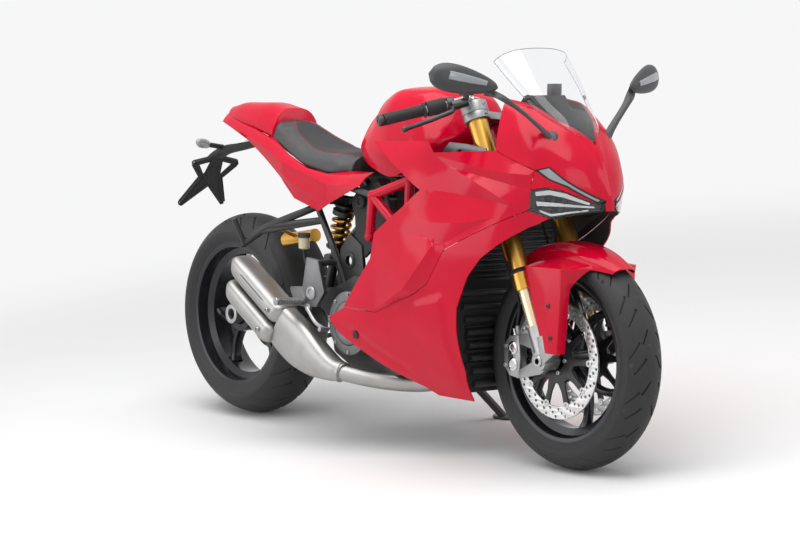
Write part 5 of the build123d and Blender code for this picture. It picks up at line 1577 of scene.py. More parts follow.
@dataclass
class Fairing:
    """The body shell: side panels, nose, lamps and screen, all cut from one skin.

    Attributes:
        spacing: Distance between the panels' inner points.
        wall: Thickness of the panels.
        upper: Side-view loop of the upper panel.
        lower: Loop of the lower panel.
        lens: Loop of the headlamp's lens.
        strip: Loop of the running light.
        wedge: Loop of the painted wedge between lens and strip.
        creases: Facets of the upper panel.
        low_creases: Facets of the lower panel.
    """

    spacing: float = 9.0
    wall: float = 3.2
    upper: Sequence[Point] = (
        (92, 873), (343, 877), (382, 846), (606, 855), (694, 824), (745, 806), (734, 754), (730, 712), (722, 700),
        (478, 587), (409, 491), (350, 458), (180, 397), (21, 400), (152, 545), (169, 618), (299, 696), (362, 744))
    lower: Sequence[Point] = (
        (24, 398.5), (180.4, 395.4), (350.8, 456.2), (410.2, 489.4), (479.2, 585.6), (723, 698.2), (768, 679),
        (718, 653), (657, 609), (603, 569), (560, 519), (513, 429), (503, 370), (490, 250), (455, 162), (322, 167),
        (294, 189), (-5, 320), (-62, 363))
    lens: Sequence[Point] = (
        (734.7, 753), (730.7, 712), (723.6, 700.4), (768.8, 680.2), (864, 700), (866, 716), (808, 752), (775, 760))
    strip: Sequence[Point] = ((750, 806), (777, 814), (868, 728), (862, 721), (816, 764), (780, 782))
    wedge: Sequence[Point] = (
        (746.4, 804.6), (779, 780.6), (815, 762.4), (861, 720), (865, 717.6), (808.6, 753.6), (775.2, 761.4),
        (735.6, 754.6))
    creases: Sequence[Crease] = (
        Crease(((184, 607, 0), (289, 621, 0), (378, 625, 0), (435, 606, 3), (440, 592, 10), (393, 526, 26),
                (342, 475, 26), (272, 442, 17), (177, 405, 3), (24, 402, 0), (152, 545, 0))),
        Crease(((440, 592, 10), (393, 526, 26), (342, 475, 26), (272, 442, 17), (177, 405, 3), (180, 398, 0),
                (350, 459.5, 0), (408, 492, 0), (476, 588, 0), (435, 606, 3))),
        Crease(((386, 845, 0), (606, 853, 0), (694, 823, 0), (743, 805, 0), (735, 794, 5), (671, 797, 9),
                (529, 816, 6), (380, 840, 0))),
        Crease(((380, 840, 0), (529, 816, 6), (671, 797, 9), (735, 794, 5), (732, 760, -3), (719, 758, -5),
                (670, 767, -6), (561, 789, -5), (450, 811, 0))),
        Crease(((450, 811, 0), (561, 789, -5), (670, 767, -6), (719, 758, -5), (732, 760, -3), (728, 710, 1),
                (694, 711, 3), (625, 748, 10), (525, 786, 6))),
        Crease(((450, 811, 0), (525, 786, 6), (625, 748, 10), (694, 711, 3), (601, 724, -8), (477, 739, -9),
                (363, 748, -1))),
        Crease(((363, 748, -1), (477, 739, -9), (601, 724, -8), (694, 711, 3), (700, 704, 0), (640, 680, 0),
                (552, 662, 5), (427, 658, 6), (304, 697, 0))),
        Crease(((304, 697, 0), (427, 658, 6), (552, 662, 5), (640, 680, 0), (557, 645, -6), (490, 610, -5),
                (450, 600, 0), (378, 628, 0), (280, 640, 0))),
        Crease(((480, 589, 0), (720, 700, 0), (700, 704, 0), (640, 680, 0), (557, 645, -6), (490, 610, -5))),
    )
    low_creases: Sequence[Crease] = (
        Crease(((314, 396, 0), (352, 440, 3), (470, 470, 6), (478, 250, 5), (440, 175, 2), (360, 178, 0),
                (352, 330, 0)), 20.0),
        Crease(((290, 205, 0), (280, 250, -5), (60, 350, -5), (-30, 352, 0), (10, 326, 0)), 14.0),
    )

    def build(self) -> None:
        """Builds and dresses the shell."""
        self._sides()
        self._nose()
        self._lamps()
        self._screen()
        self._mirrors()

    def panel(self, outline: Sequence[Point], creases: Sequence[Crease] = (), out: float = 0.0,
              spacing: float = 0.0) -> Form:
        """A side panel of the skin.

        Args:
            outline: Side-view loop.
            creases: Facets that stand out or in.
            out: Distance of the whole panel from the skin.
            spacing: Distance between its points, or that of the fairing.

        Returns:
            The right-hand panel, facing out.
        """
        lines = [line for crease in creases for line in crease.lines()]
        drawn, faces = filled(outline, lines, spacing or self.spacing)
        half = SHELL.width(drawn) + Crease.all_of(creases, drawn) + out
        return Form(np.column_stack([drawn[:, 0], -half, drawn[:, 1]]), faces)

    def _sides(self) -> None:
        """Upper and lower panels, their grommets and the stays behind them."""
        upper = self.panel(self.upper, self.creases).both()
        Piece("upper_fairing_skin", Body.CHASSIS, Finishes.RED, ("upper_fairing_right", "upper_fairing_left"),
              wall=self.wall, outward=False, smooth=13.0, inner=Finishes.BLACK).make(upper)
        lower = self.panel(self.lower, self.low_creases).both()
        Piece("lower_fairing_skin", Body.CHASSIS, Finishes.RED, ("lower_fairing_right", "lower_fairing_left"),
              wall=self.wall, outward=False, smooth=16.0, inner=Finishes.BLACK).make(lower)
        grommet = self.panel(((60, 314), (79, 312), (86, 324), (80, 335), (66, 334)), out=1.2, spacing=4.0)
        Piece("fairing_grommets", Body.CHASSIS, Finishes.BLACK, wall=2.0, outward=False).make(grommet.both())
        eye = circle(13.0, 32, (440, 842))
        stay = [(372, 790), (366, 848), (396, 874), (470, 870), (548, 860), (566, 800)]
        stays = Form.plate([stay, eye], 4.0, 1.0, side_plane(150.0)).both()
        Piece("fairing_stays", Body.CHASSIS, Finishes.COVER).make(stays)

    def _nose(self) -> None:
        """The nose, open where the screen stands, with the wedges between lamps and strips, and its underside."""
        side = resampled(((607, 856.4), (694.4, 825.2), (746, 807.4), (777.4, 815.5), (869.4, 729.4)), 7.0,
                         closed=False)
        low = SHELL.level(side[:, 0], side[:, 1])
        plan = resampled(((816, 0), (735, 64), (640, 100), (580, 104)), 9.0, closed=False)
        bay = SHELL.level(plan[:, 0], plan[:, 1], column=0, low=4.0)
        top, tip, scale = float(SHELL.top), float(SHELL.knots[-1]), 60
        outline = [*zip(side[:, 0], low * scale), (tip, low[-1] * scale + 12), (tip, top * scale),
                   *zip(plan[:, 0], bay * scale)]
        bends = ((735.0, 5.9), (820.0, 6.3), (850.0, 6.3), (tip, 6.35))
        ridge = [(place, level * scale) for place, level in reversed(bends)]
        drawn, faces = filled(outline, [ridge], self.spacing * 0.8)
        found = SHELL.at(drawn[:, 0], drawn[:, 1] / scale)
        bend = np.interp(drawn[:, 0], *zip(*bends))
        rise = np.interp(drawn[:, 0], (735, 790, 850, tip), (0, 6, 4, 0))
        lift = np.clip((drawn[:, 1] / scale - bend) / 0.4, 0.0, 1.0) * rise
        half = Form(np.column_stack([drawn[:, 0], -found[:, 0], found[:, 1] + lift]), faces)
        levels = np.linspace(2.9, top, 14)
        end = SHELL.at(np.full(14, tip), levels)
        beak = Form.grid([[(tip + 3.0 * (1 - share**2), width * share, rise) for share in (1.0, 0.5, 0.0)]
                          for width, rise in end])
        wedge = self.panel(self.wedge, out=1.0, spacing=6.0)
        Piece("nose_cowl_skin", Body.CHASSIS, Finishes.RED, ("nose_cowl",), wall=self.wall, outward=False,
              smooth=30.0, inner=Finishes.BLACK).make(Form.joined([half.both(), wedge.both(), beak.flipped().both()]))
        rim = np.array([(723.6, 700.4), (768.8, 680.2), (800, 687), (832, 694), (864, 700)], float)
        half_width = SHELL.width(rim) - 6.0
        shares = np.linspace(-1.0, 1.0, 15)
        rows = [[(place[0] - 6 * (1 - share**2), width * share, place[1] + 5.0 + 16.0 * (1 - share**2))
                 for share in shares]
                for place, width in zip(rim, half_width)]
        Piece("nose_underside", Body.CHASSIS, Finishes.BLACK, wall=2.5, outward=False).make(Form.grid(rows))

    def _lamps(self) -> None:
        """Clear lenses over dark bowls with bright bars, and the running-light strips."""
        clear = self.panel(self.lens, out=0.5, spacing=6.0)
        Piece("lamp_lenses", Body.CHASSIS, Finishes.CLEAR, ("headlamp_lenses",), wall=2.0,
              outward=False).make(clear.both())
        wide = Crease(tuple((*place, 0.0) for place in self.lens), -2.5).inset()
        bed = Crease(tuple((*place, depth) for place, depth in zip(wide, (-30, -30, -26, -22, -12, -12, -24, -30))),
                     10.0)
        bowl = self.panel(wide, (bed,), out=-3.2, spacing=6.0)
        Piece("lamp_bowls", Body.CHASSIS, Finishes.BLACK, ("headlamp_bowls",), wall=1.5, outward=False,
              smooth=30).make(bowl.both())
        blades = [self.panel(loop, out=-deep, spacing=7.0) for loop, deep in (
            (((742, 749), (776, 754), (808, 746), (848, 720), (846, 715), (804, 735), (776, 742), (742, 738)), 9.0),
            (((738, 724), (790, 720), (852, 711), (852, 707), (790, 711), (738, 712)), 13.0),
            (((748, 701), (772, 691), (846, 703), (844, 699), (770, 685), (742, 698)), 7.0))]
        Piece("lamp_blades", Body.CHASSIS, Finishes.BRIGHT, wall=2.5, outward=False).make(Form.joined(blades).both())
        glass = []
        for centre, radius in (((752, 731), 7.5), ((776, 729), 7.5), ((800, 724), 7.0), ((764, 704), 7.0),
                               ((788, 703), 6.5)):
            width = float(SHELL.width(np.array([centre], float))[0]) - 17.0
            profile = [(0, 0), (0, radius), (5, radius), (6.5, radius - 1.2), (5, radius - 2.2), (8, radius * 0.5),
                       (9, 0)]
            glass.append(Form.lathe(profile, (centre[0], -width, centre[1]), (0.75, -0.66, 0), 28))
        Piece("lamp_projectors", Body.CHASSIS, Finishes.DARK_STEEL).make(Form.joined(glass).both())
        outer = Crease(tuple((*place, 0.0) for place in self.strip), -2.5).inset()
        border = self.panel(outer, out=-2.2, spacing=6.0)
        Piece("strip_borders", Body.CHASSIS, Finishes.BLACK, wall=2.0, outward=False).make(border.both())
        inner = Crease(tuple((*place, 0.0) for place in self.strip), 2.2).inset()
        strip = self.panel(inner, out=0.6, spacing=6.0)
        Piece("running_lights", Body.CHASSIS, Finishes.LAMP_AND_PAINTED_GLOW, wall=2.0, outward=False).make(strip.both())

    def _screen(self) -> None:
        """The clear screen with its painted-glow edge and bolts, and the dash with the dark cowl before it."""
        arcs = np.array([(790, 22, 872, 806, 877), (752, 62, 908, 776, 918), (690, 92, 960, 724, 972),
                         (622, 115, 1025, 660, 1050), (553, 128, 1091, 595, 1128)], float)
        fine = pchip(np.arange(5.0), arcs, np.linspace(0.0, 4.0, 33))
        shares = np.linspace(-1.0, 1.0, 41)
        rows = []
        for edge_x, half, edge_z, crown_x, crown_z in fine:
            bend = np.abs(shares) ** 2.2
            rows.append(np.column_stack([crown_x + (edge_x - crown_x) * bend, half * np.sin(shares * math.pi / 2),
                                         crown_z + (edge_z - crown_z) * bend]))
        rows = np.array(rows)
        Piece("screen_sheet", Body.CHASSIS, Finishes.CLEAR, ("windscreen",), wall=2.6, outward=False, smooth=60).make(
            Form.grid(rows).flipped())
        under = rows[:17] * (1.0, 0.93, 1.0) + (-10.0, 0.0, -9.0)
        Piece("dash_cowl", Body.CHASSIS, Finishes.BLACK, wall=2.0, outward=False).make(Form.grid(under).flipped())
        rim = np.concatenate([rows[4:, 0], rows[-1, 1:-1], rows[4:, -1][::-1]])
        # The edge takes the lamps' glowing finish: a painted glow on a part that is no lamp.
        Piece("screen_edge", Body.CHASSIS, Finishes.LAMP_AND_PAINTED_GLOW).make(Form.pipe(rim, 1.1, 3, 2))
        softened("dash", Body.CHASSIS, Finishes.BLACK, 3.0)
        fixings = (((742, 56, 922), (0.6, 0.4, 0.7)), ((662, 103, 995), (0.5, 0.6, 0.6)))
        spots = [((x, side * y, z), (fore, side * out, up))
                 for (x, y, z), (fore, out, up) in fixings for side in (-1, 1)]
        bolts("screen_bolts", Body.CHASSIS, spots, 7.0, Finishes.BLACK_METAL)

    @staticmethod
    def _girth(share: float) -> float:
        """Girth of a mirror head along its length, from its pointed end at -1 to its round end at 1."""
        place = (share + 1.0) / 2.0
        return max(0.03, 1.16 * place**0.5 * max(0.0, 1.0 - place**4.5) ** 0.5)

    def _mirrors(self) -> None:
        """Mirror stalks and heads with glass and an indicator lens."""
        long_way = Vector((-0.42, -0.87, 0.26)).normalized()
        face = Vector((-0.905, 0.42, -0.06)).normalized()
        tall = long_way.cross(face).normalized()
        face = tall.cross(long_way).normalized()
        stalk = limb([
            Section((752, -102, 889), (0.7, 0, -0.7), (0.3, 0.7, 0.6), 15, 8),
            Section((742, -132, 918), (0.75, 0, -0.66), (0.3, 0.7, 0.6), 12, 6),
            Section((724, -190, 966), (0.8, 0, -0.6), (0.3, 0.6, 0.7), 11, 5.5),
            Section((700, -238, 1000), (0.85, 0, -0.5), (0.2, 0.5, 0.8), 15, 8),
            Section((678, -268, 1016), tall, face, 15, 9),
        ], 5, 20)
        centre = Vector((655.0, -322.0, 1040.0))

        def spot(share: float, deep: float, drop: float = 0.0) -> Vector:
            """Place in the head by its share of the length, its depth behind the glass and its drop."""
            return centre + long_way * (95.0 * share) - face * deep + tall * (6.0 * share - drop)

        rows = []
        for share in np.linspace(-1.0, 1.0, 25):
            full = self._girth(share)
            drawn = rounded(44.0 * full, 26.0 * full + 1.0, 2.3, 32)
            drawn[:, 1] = np.where(drawn[:, 1] > 0, drawn[:, 1] * 0.35, drawn[:, 1])
            middle = np.array(spot(share, 10.0 * full))
            rows.append(middle + np.outer(drawn[:, 0], tall) + np.outer(drawn[:, 1], face))
        head =  Form.grid(rows, ring=True, caps=True)
        base = Form.lathe([(-3, 0), (-3, 20), (0, 22), (4, 21), (7, 15), (7, 0)], (751, -103, 890),
                          (0.6, -0.643, 0.474), 40)
        shape = Form.joined([stalk, head, base]).both()
        Piece("mirror_shells", Body.CHASSIS, Finishes.GREY, ("mirror_right", "mirror_left"), smooth=50.0).make(shape)
        drawn = rounded(74, 33, 2.6, 48)
        drawn[:, 1] *= 0.72 + 0.28 * drawn[:, 0] / 74.0
        plane = upright(centre + long_way * 8 - face * 0.6, long_way, face)
        pane = Form.plate([drawn], 2.0, 0.5, plane)
        Piece("mirror_glass", Body.CHASSIS, Finishes.MIRROR).make(pane.both())
        girths = [(share, self._girth(share)) for share in np.linspace(-0.62, 0.5, 9)]
        lamp = limb([Section(spot(share, 36.0 * full - 0.5, 4.0), tall, face, 13.0 * full, 4.0)
                     for share, full in girths], 3, 18)
        Piece("mirror_indicators", Body.CHASSIS, Finishes.LAMP_AND_PAINTED_GLOW).make(lamp.both())


def boxed(rows: Sequence[Sequence[float]], steps: int = 6, count: int = 40, power: float = 4.5,
          shrink: float = 1.0) -> Form:
    """Body through rows of (x, low, high, half at low, half at high), with rounded corners."""
    table = np.array([row[:5] for row in rows], float)[::-1]
    fine = pchip(table[:, 0], table, np.linspace(table[0, 0], table[-1, 0], (len(table) - 1) * steps + 1))
    drawn = rounded(1.0, 1.0, power, count)
    rings = []
    for place, low, high, wide_low, wide_high in fine:
        share = (drawn[:, 1] + 1.0) / 2.0
        half = (wide_low + (wide_high - wide_low) * share) * shrink
        rise = (low + high) / 2 + drawn[:, 1] * (high - low) / 2 * shrink
        rings.append(np.column_stack([np.full(count, place), drawn[:, 0] * half, rise]))
    return Form.grid(rings, ring=True, caps=True)


TANK = Skin([
    (-98, (62, 842), (64, 850), (60, 862), (52, 872), (36, 880), (0, 884)),
    (-60, (94, 822), (104, 850), (88, 888), (68, 916), (42, 932), (0, 938)),
    (-36, (108, 815), (118, 850), (98, 898), (62, 942), (42, 962), (0, 970)),
    (40, (138, 793), (148, 838), (132, 898), (116, 952), (68, 998), (0, 1006)),
    (140, (154, 772), (167, 832), (154, 904), (146, 960), (96, 1018), (0, 1026)),
    (240, (164, 802), (172, 846), (160, 902), (136, 958), (92, 1016), (0, 1028)),
    (330, (136, 846), (142, 870), (128, 906), (104, 946), (70, 984), (0, 996)),
    (362, (88, 880), (92, 890), (78, 908), (60, 926), (44, 938), (0, 946)),
])


@dataclass
class Saddle:
    """Tank, seat and tail.

    Attributes:
        seat_rows: The cushion's sections from front to rear.
        tail_rows: The tail hump's sections from front to rear.
        tail_panel: Side-view loop of the panel under the seat.
        tail_plan: Side of that panel by x.
        seam: Side of the cushion's stitched line by x.
        voxel: Size of the cushion's remeshed faces, in metres.
        pressure: Pressure of its cloth run.
        frames: Length of that run.
        swell: Limit of what the run may move, in metres.
    """

    seat_rows: Sequence[Sequence[float]] = (
        (-96, 768, 836, 120, 92), (-180, 760, 828, 150, 122), (-280, 774, 832, 148, 122), (-400, 812, 868, 130, 104),
        (-518, 860, 934, 102, 74))
    tail_rows: Sequence[Sequence[float]] = (
        (-518.5, 858, 960, 106, 62), (-620, 884, 978, 92, 52), (-740, 908, 978, 70, 36), (-838, 928, 964, 40, 18))
    tail_panel: Sequence[Point] = (
        (6, 744), (-140, 742), (-380, 794), (-540, 846), (-800, 914), (-842, 918), (-650, 862), (-515, 800),
        (-415, 752), (-340, 694), (-195, 662))
    tail_plan: Sequence[Point] = ((-860, 48), (-400, 142), (-150, 168), (60, 156))
    seam: Sequence[Point] = ((-518.0, 6.0), (-440.0, 52.0), (-260.0, 88.0), (-96.0, 80.0))
    voxel: float = 0.006
    pressure: float = 4.0
    frames: int = 20
    swell: float = 0.007

    def build(self) -> None:
        """Builds and dresses the saddle parts."""
        self._tank()
        self._seat()
        self._tail()

    def _tank(self) -> None:
        """The painted tank with its filler."""
        places = np.linspace(TANK.knots[0], TANK.knots[-1], 72)
        levels = np.linspace(0.0, float(TANK.top), 51)
        rows = []
        for place in places:
            found = TANK.at(np.full(len(levels), place), levels)
            rows.append(np.column_stack([np.full(len(levels), place), found[:, 0], found[:, 1]]))
        rows = np.array(rows)
        middle = rows.mean(axis=1, keepdims=True) * (1.0, 0.0, 1.0)
        ends = [middle[:1] + (rows[:1] - middle[:1]) * share + (shift, 0, 0)
                for share, shift in ((0.0, -10), (0.7, -8), (0.93, -3))]
        after = [middle[-1:] + (rows[-1:] - middle[-1:]) * share + (shift, 0, 0)
                 for share, shift in ((0.93, 2), (0.7, 5), (0.0, 6))]
        whole = np.concatenate([*ends, rows, *after])
        floor = np.stack([whole[:, 0] * (1.0, share, 1.0) for share in (0.0, 0.5, 1.0)], axis=1)
        half = Form.joined([Form.grid(whole), Form.grid(floor)])
        Piece("tank_shell", Body.CHASSIS, Finishes.RED_METAL, ("fuel_tank",), wall=2.0, outward=False,
              smooth=60.0).make(half.both())
        centre = Vector((214.0, 0.0, 1016.0))
        ring = Form.lathe([(-4, 34), (-4, 47), (7, 47), (10.5, 45), (10.5, 36), (7, 34.5), (-4, 34)], centre,
                          (0.03, 0, 1), 72)
        lid = Form.lathe([(0, 0), (0, 34), (9, 34), (11.5, 32), (12.5, 14), (15, 12), (15, 0)], centre, (0.03, 0, 1),
                         60)
        Piece("filler_lid", Body.CHASSIS, Finishes.SILVER, ("filler_cap",)).make(Form.joined([ring, lid]))
        spots = [(centre + Vector((41 * math.cos(turn), 41 * math.sin(turn), 10.0)), (0.03, 0, 1))
                 for turn in np.arange(7) * math.tau / 7]
        bolts("filler_bolts", Body.CHASSIS, spots, 3.4, Finishes.BLACK_METAL)

    def _seat(self) -> None:
        """The cushion, swollen by a cloth run, with its stitched line."""
        made = boxed(self.seat_rows, 8, 48, 3.6, 0.985).holder("seat_cushion")
        self._swell(made)
        points = points_of(made.data)
        reach = np.interp(points[:, 0], *zip(*self.seam))
        panel = made.data.attributes.new("panel", "FLOAT", "POINT")
        panel.data.foreach_set("value", np.clip((reach - np.abs(points[:, 1])) / 3.0, 0.0, 1.0))
        lines = []
        tree = made.evaluated_get(bpy.context.evaluated_depsgraph_get())
        for side in (-1.0, 1.0):
            line = []
            for place in np.linspace(-110.0, -505.0, 60):
                across = side * float(np.interp(place, *zip(*self.seam)))
                hit, spot, _, _ = tree.ray_cast(Vector((place, across, 1100.0)), Vector((0, 0, -1)))
                if hit:
                    line.append(spot + Vector((0, 0, 0.7)))
            lines.append(line)
        piece = Piece("seat_cushion", Body.CHASSIS, SeatCover(), ("seat",), smooth=80.0)
        piece.place(made)
        stitch = Form.rod((-2.4, 0, 0), (2.4, 0, 0), 0.9, 0.3, 6)
        forms = [REPEATS.along(stitch, line, 72, Finishes.THREAD) for line in lines]
        Piece("seat_stitching", Body.CHASSIS, Finishes.THREAD).make(Form.joined(forms))

    def _swell(self, made: bpy.types.Object) -> None:
        """Runs a pressed cloth on the cushion and keeps its shape."""
        made.data.transform(Matrix.Scale(MM, 4))
        remesh = made.modifiers.new("remesh", "REMESH")
        remesh.mode = "VOXEL"
        remesh.voxel_size = self.voxel
        baked(made)
        cloth = made.modifiers.new("cloth", "CLOTH")
        cloth.settings.quality = 4
        cloth.settings.use_pressure = True
        cloth.settings.uniform_pressure_force = self.pressure
        cloth.settings.effector_weights.gravity = 0.0
        start = points_of(made.data)
        scene = bpy.context.scene
        for step in range(1, self.frames + 1):
            scene.frame_set(step)
        baked(made)
        scene.frame_set(1)
        ended = points_of(made.data)
        moved = ended - start
        far = np.linalg.norm(moved, axis=1, keepdims=True)
        held = start + moved * np.minimum(1.0, self.swell / np.maximum(far, 1e-9))
        made.data.vertices.foreach_set("co", held.ravel())
        smooth = made.modifiers.new("smooth", "SMOOTH")
        smooth.factor = 0.5
        smooth.iterations = 6
        finer = made.modifiers.new("finer", "SUBSURF")
        finer.levels = 1
        finer.render_levels = 1
        baked(made)
        made.data.transform(Matrix.Scale(1000.0, 4))

    def _tail(self) -> None:
        """The hump, the side panels and the tail lamp."""
        hump = boxed(self.tail_rows, 8, 48, 3.2)
        Piece("tail_hump_shell", Body.CHASSIS, Finishes.RED, ("tail_hump",), smooth=50.0, bevel=3.0).make(hump)
        plan = np.array(self.tail_plan, float)
        crease = Crease(((-150, 715, 2), (-385, 762, 9), (-545, 824, 8), (-790, 902, 2), (-650, 868, -2),
                         (-510, 806, 0), (-400, 752, 0), (-330, 700, 0), (-200, 672, 0)), 12.0)
        drawn, faces = filled(self.tail_panel, crease.lines(), 9.0)
        slope = np.interp(drawn[:, 0], (-842, -400, 6), (2.0, 0.4, 0.2))
        half = np.interp(drawn[:, 0], plan[:, 0], plan[:, 1]) + Crease.all_of((crease,), drawn)
        upper = np.interp(drawn[:, 0], (-842, -540, -140, 6), (918, 846, 742, 744))
        half = half - np.clip(upper - drawn[:, 1], 0, 200) * slope * 0.25
        panel = Form(np.column_stack([drawn[:, 0], -half, drawn[:, 1]]), faces)
        edge = np.array(((6, 744), (-140, 742), (-380, 794), (-540, 846), (-800, 914), (-842, 918)), float)[::-1]
        body = np.array([(row[0], row[3] - 16.0, row[1] + 12.0) for row in (*self.seat_rows, *self.tail_rows)])[::-1]
        shelf = []
        for place in np.linspace(-838.0, 4.0, 90):
            out = np.array((place, -np.interp(place, plan[:, 0], plan[:, 1]),
                            np.interp(place, edge[:, 0], edge[:, 1])))
            into = np.array((place, -np.interp(place, body[:, 0], body[:, 1]),
                             np.interp(place, body[:, 0], body[:, 2])))
            shelf.append([out + (into - out) * share + (0, 0, 6.0 * math.sin(math.pi * share))
                          for share in np.linspace(0, 1, 7)])
        panel = Form.joined([panel, Form.grid(shelf).flipped()])
        Piece("tail_panel_skins", Body.CHASSIS, Finishes.RED, ("tail_panels",), wall=3.0, outward=False, smooth=26.0,
              inner=Finishes.BLACK).make(panel.both())
        softened("tail_lamp", Body.CHASSIS, Finishes.LAMP_RED, 3.0)


class SeatCover(Surface):
    """Cover of the seat: suede in its middle panel and leather round it."""

    name = "seat_cover"
    slot = "seat"

    def _build(self) -> bpy.types.Material:
        """Mixes both covers by the panel that is marked on the cushion."""
        shade = Shade(self.name)
        mark = shade.node("ShaderNodeAttribute", {"attribute_name": "panel"}, output="Fac")
        fuzz = shade.noise(1.1, detail=4.0)
        cloud = shade.noise(40.0)
        leather = shade.blend(cloud, (0.035, 0.035, 0.037, 1), (0.05, 0.05, 0.052, 1))
        suede = shade.blend(cloud, (0.026, 0.026, 0.028, 1), (0.04, 0.04, 0.042, 1))
        shade.set(Base_Color=shade.blend(mark, leather, suede), Roughness=0.46 + mark * 0.4)
        pores = shade.node("ShaderNodeTexVoronoi", {"feature": "DISTANCE_TO_EDGE"},
                           {"Vector": shade.place(), "Scale": 600.0}).smoothed(0.0, 0.3)
        shade.relief(pores * (1.0 - mark) * 0.6 + fuzz * mark, 0.15)
        return shade.material


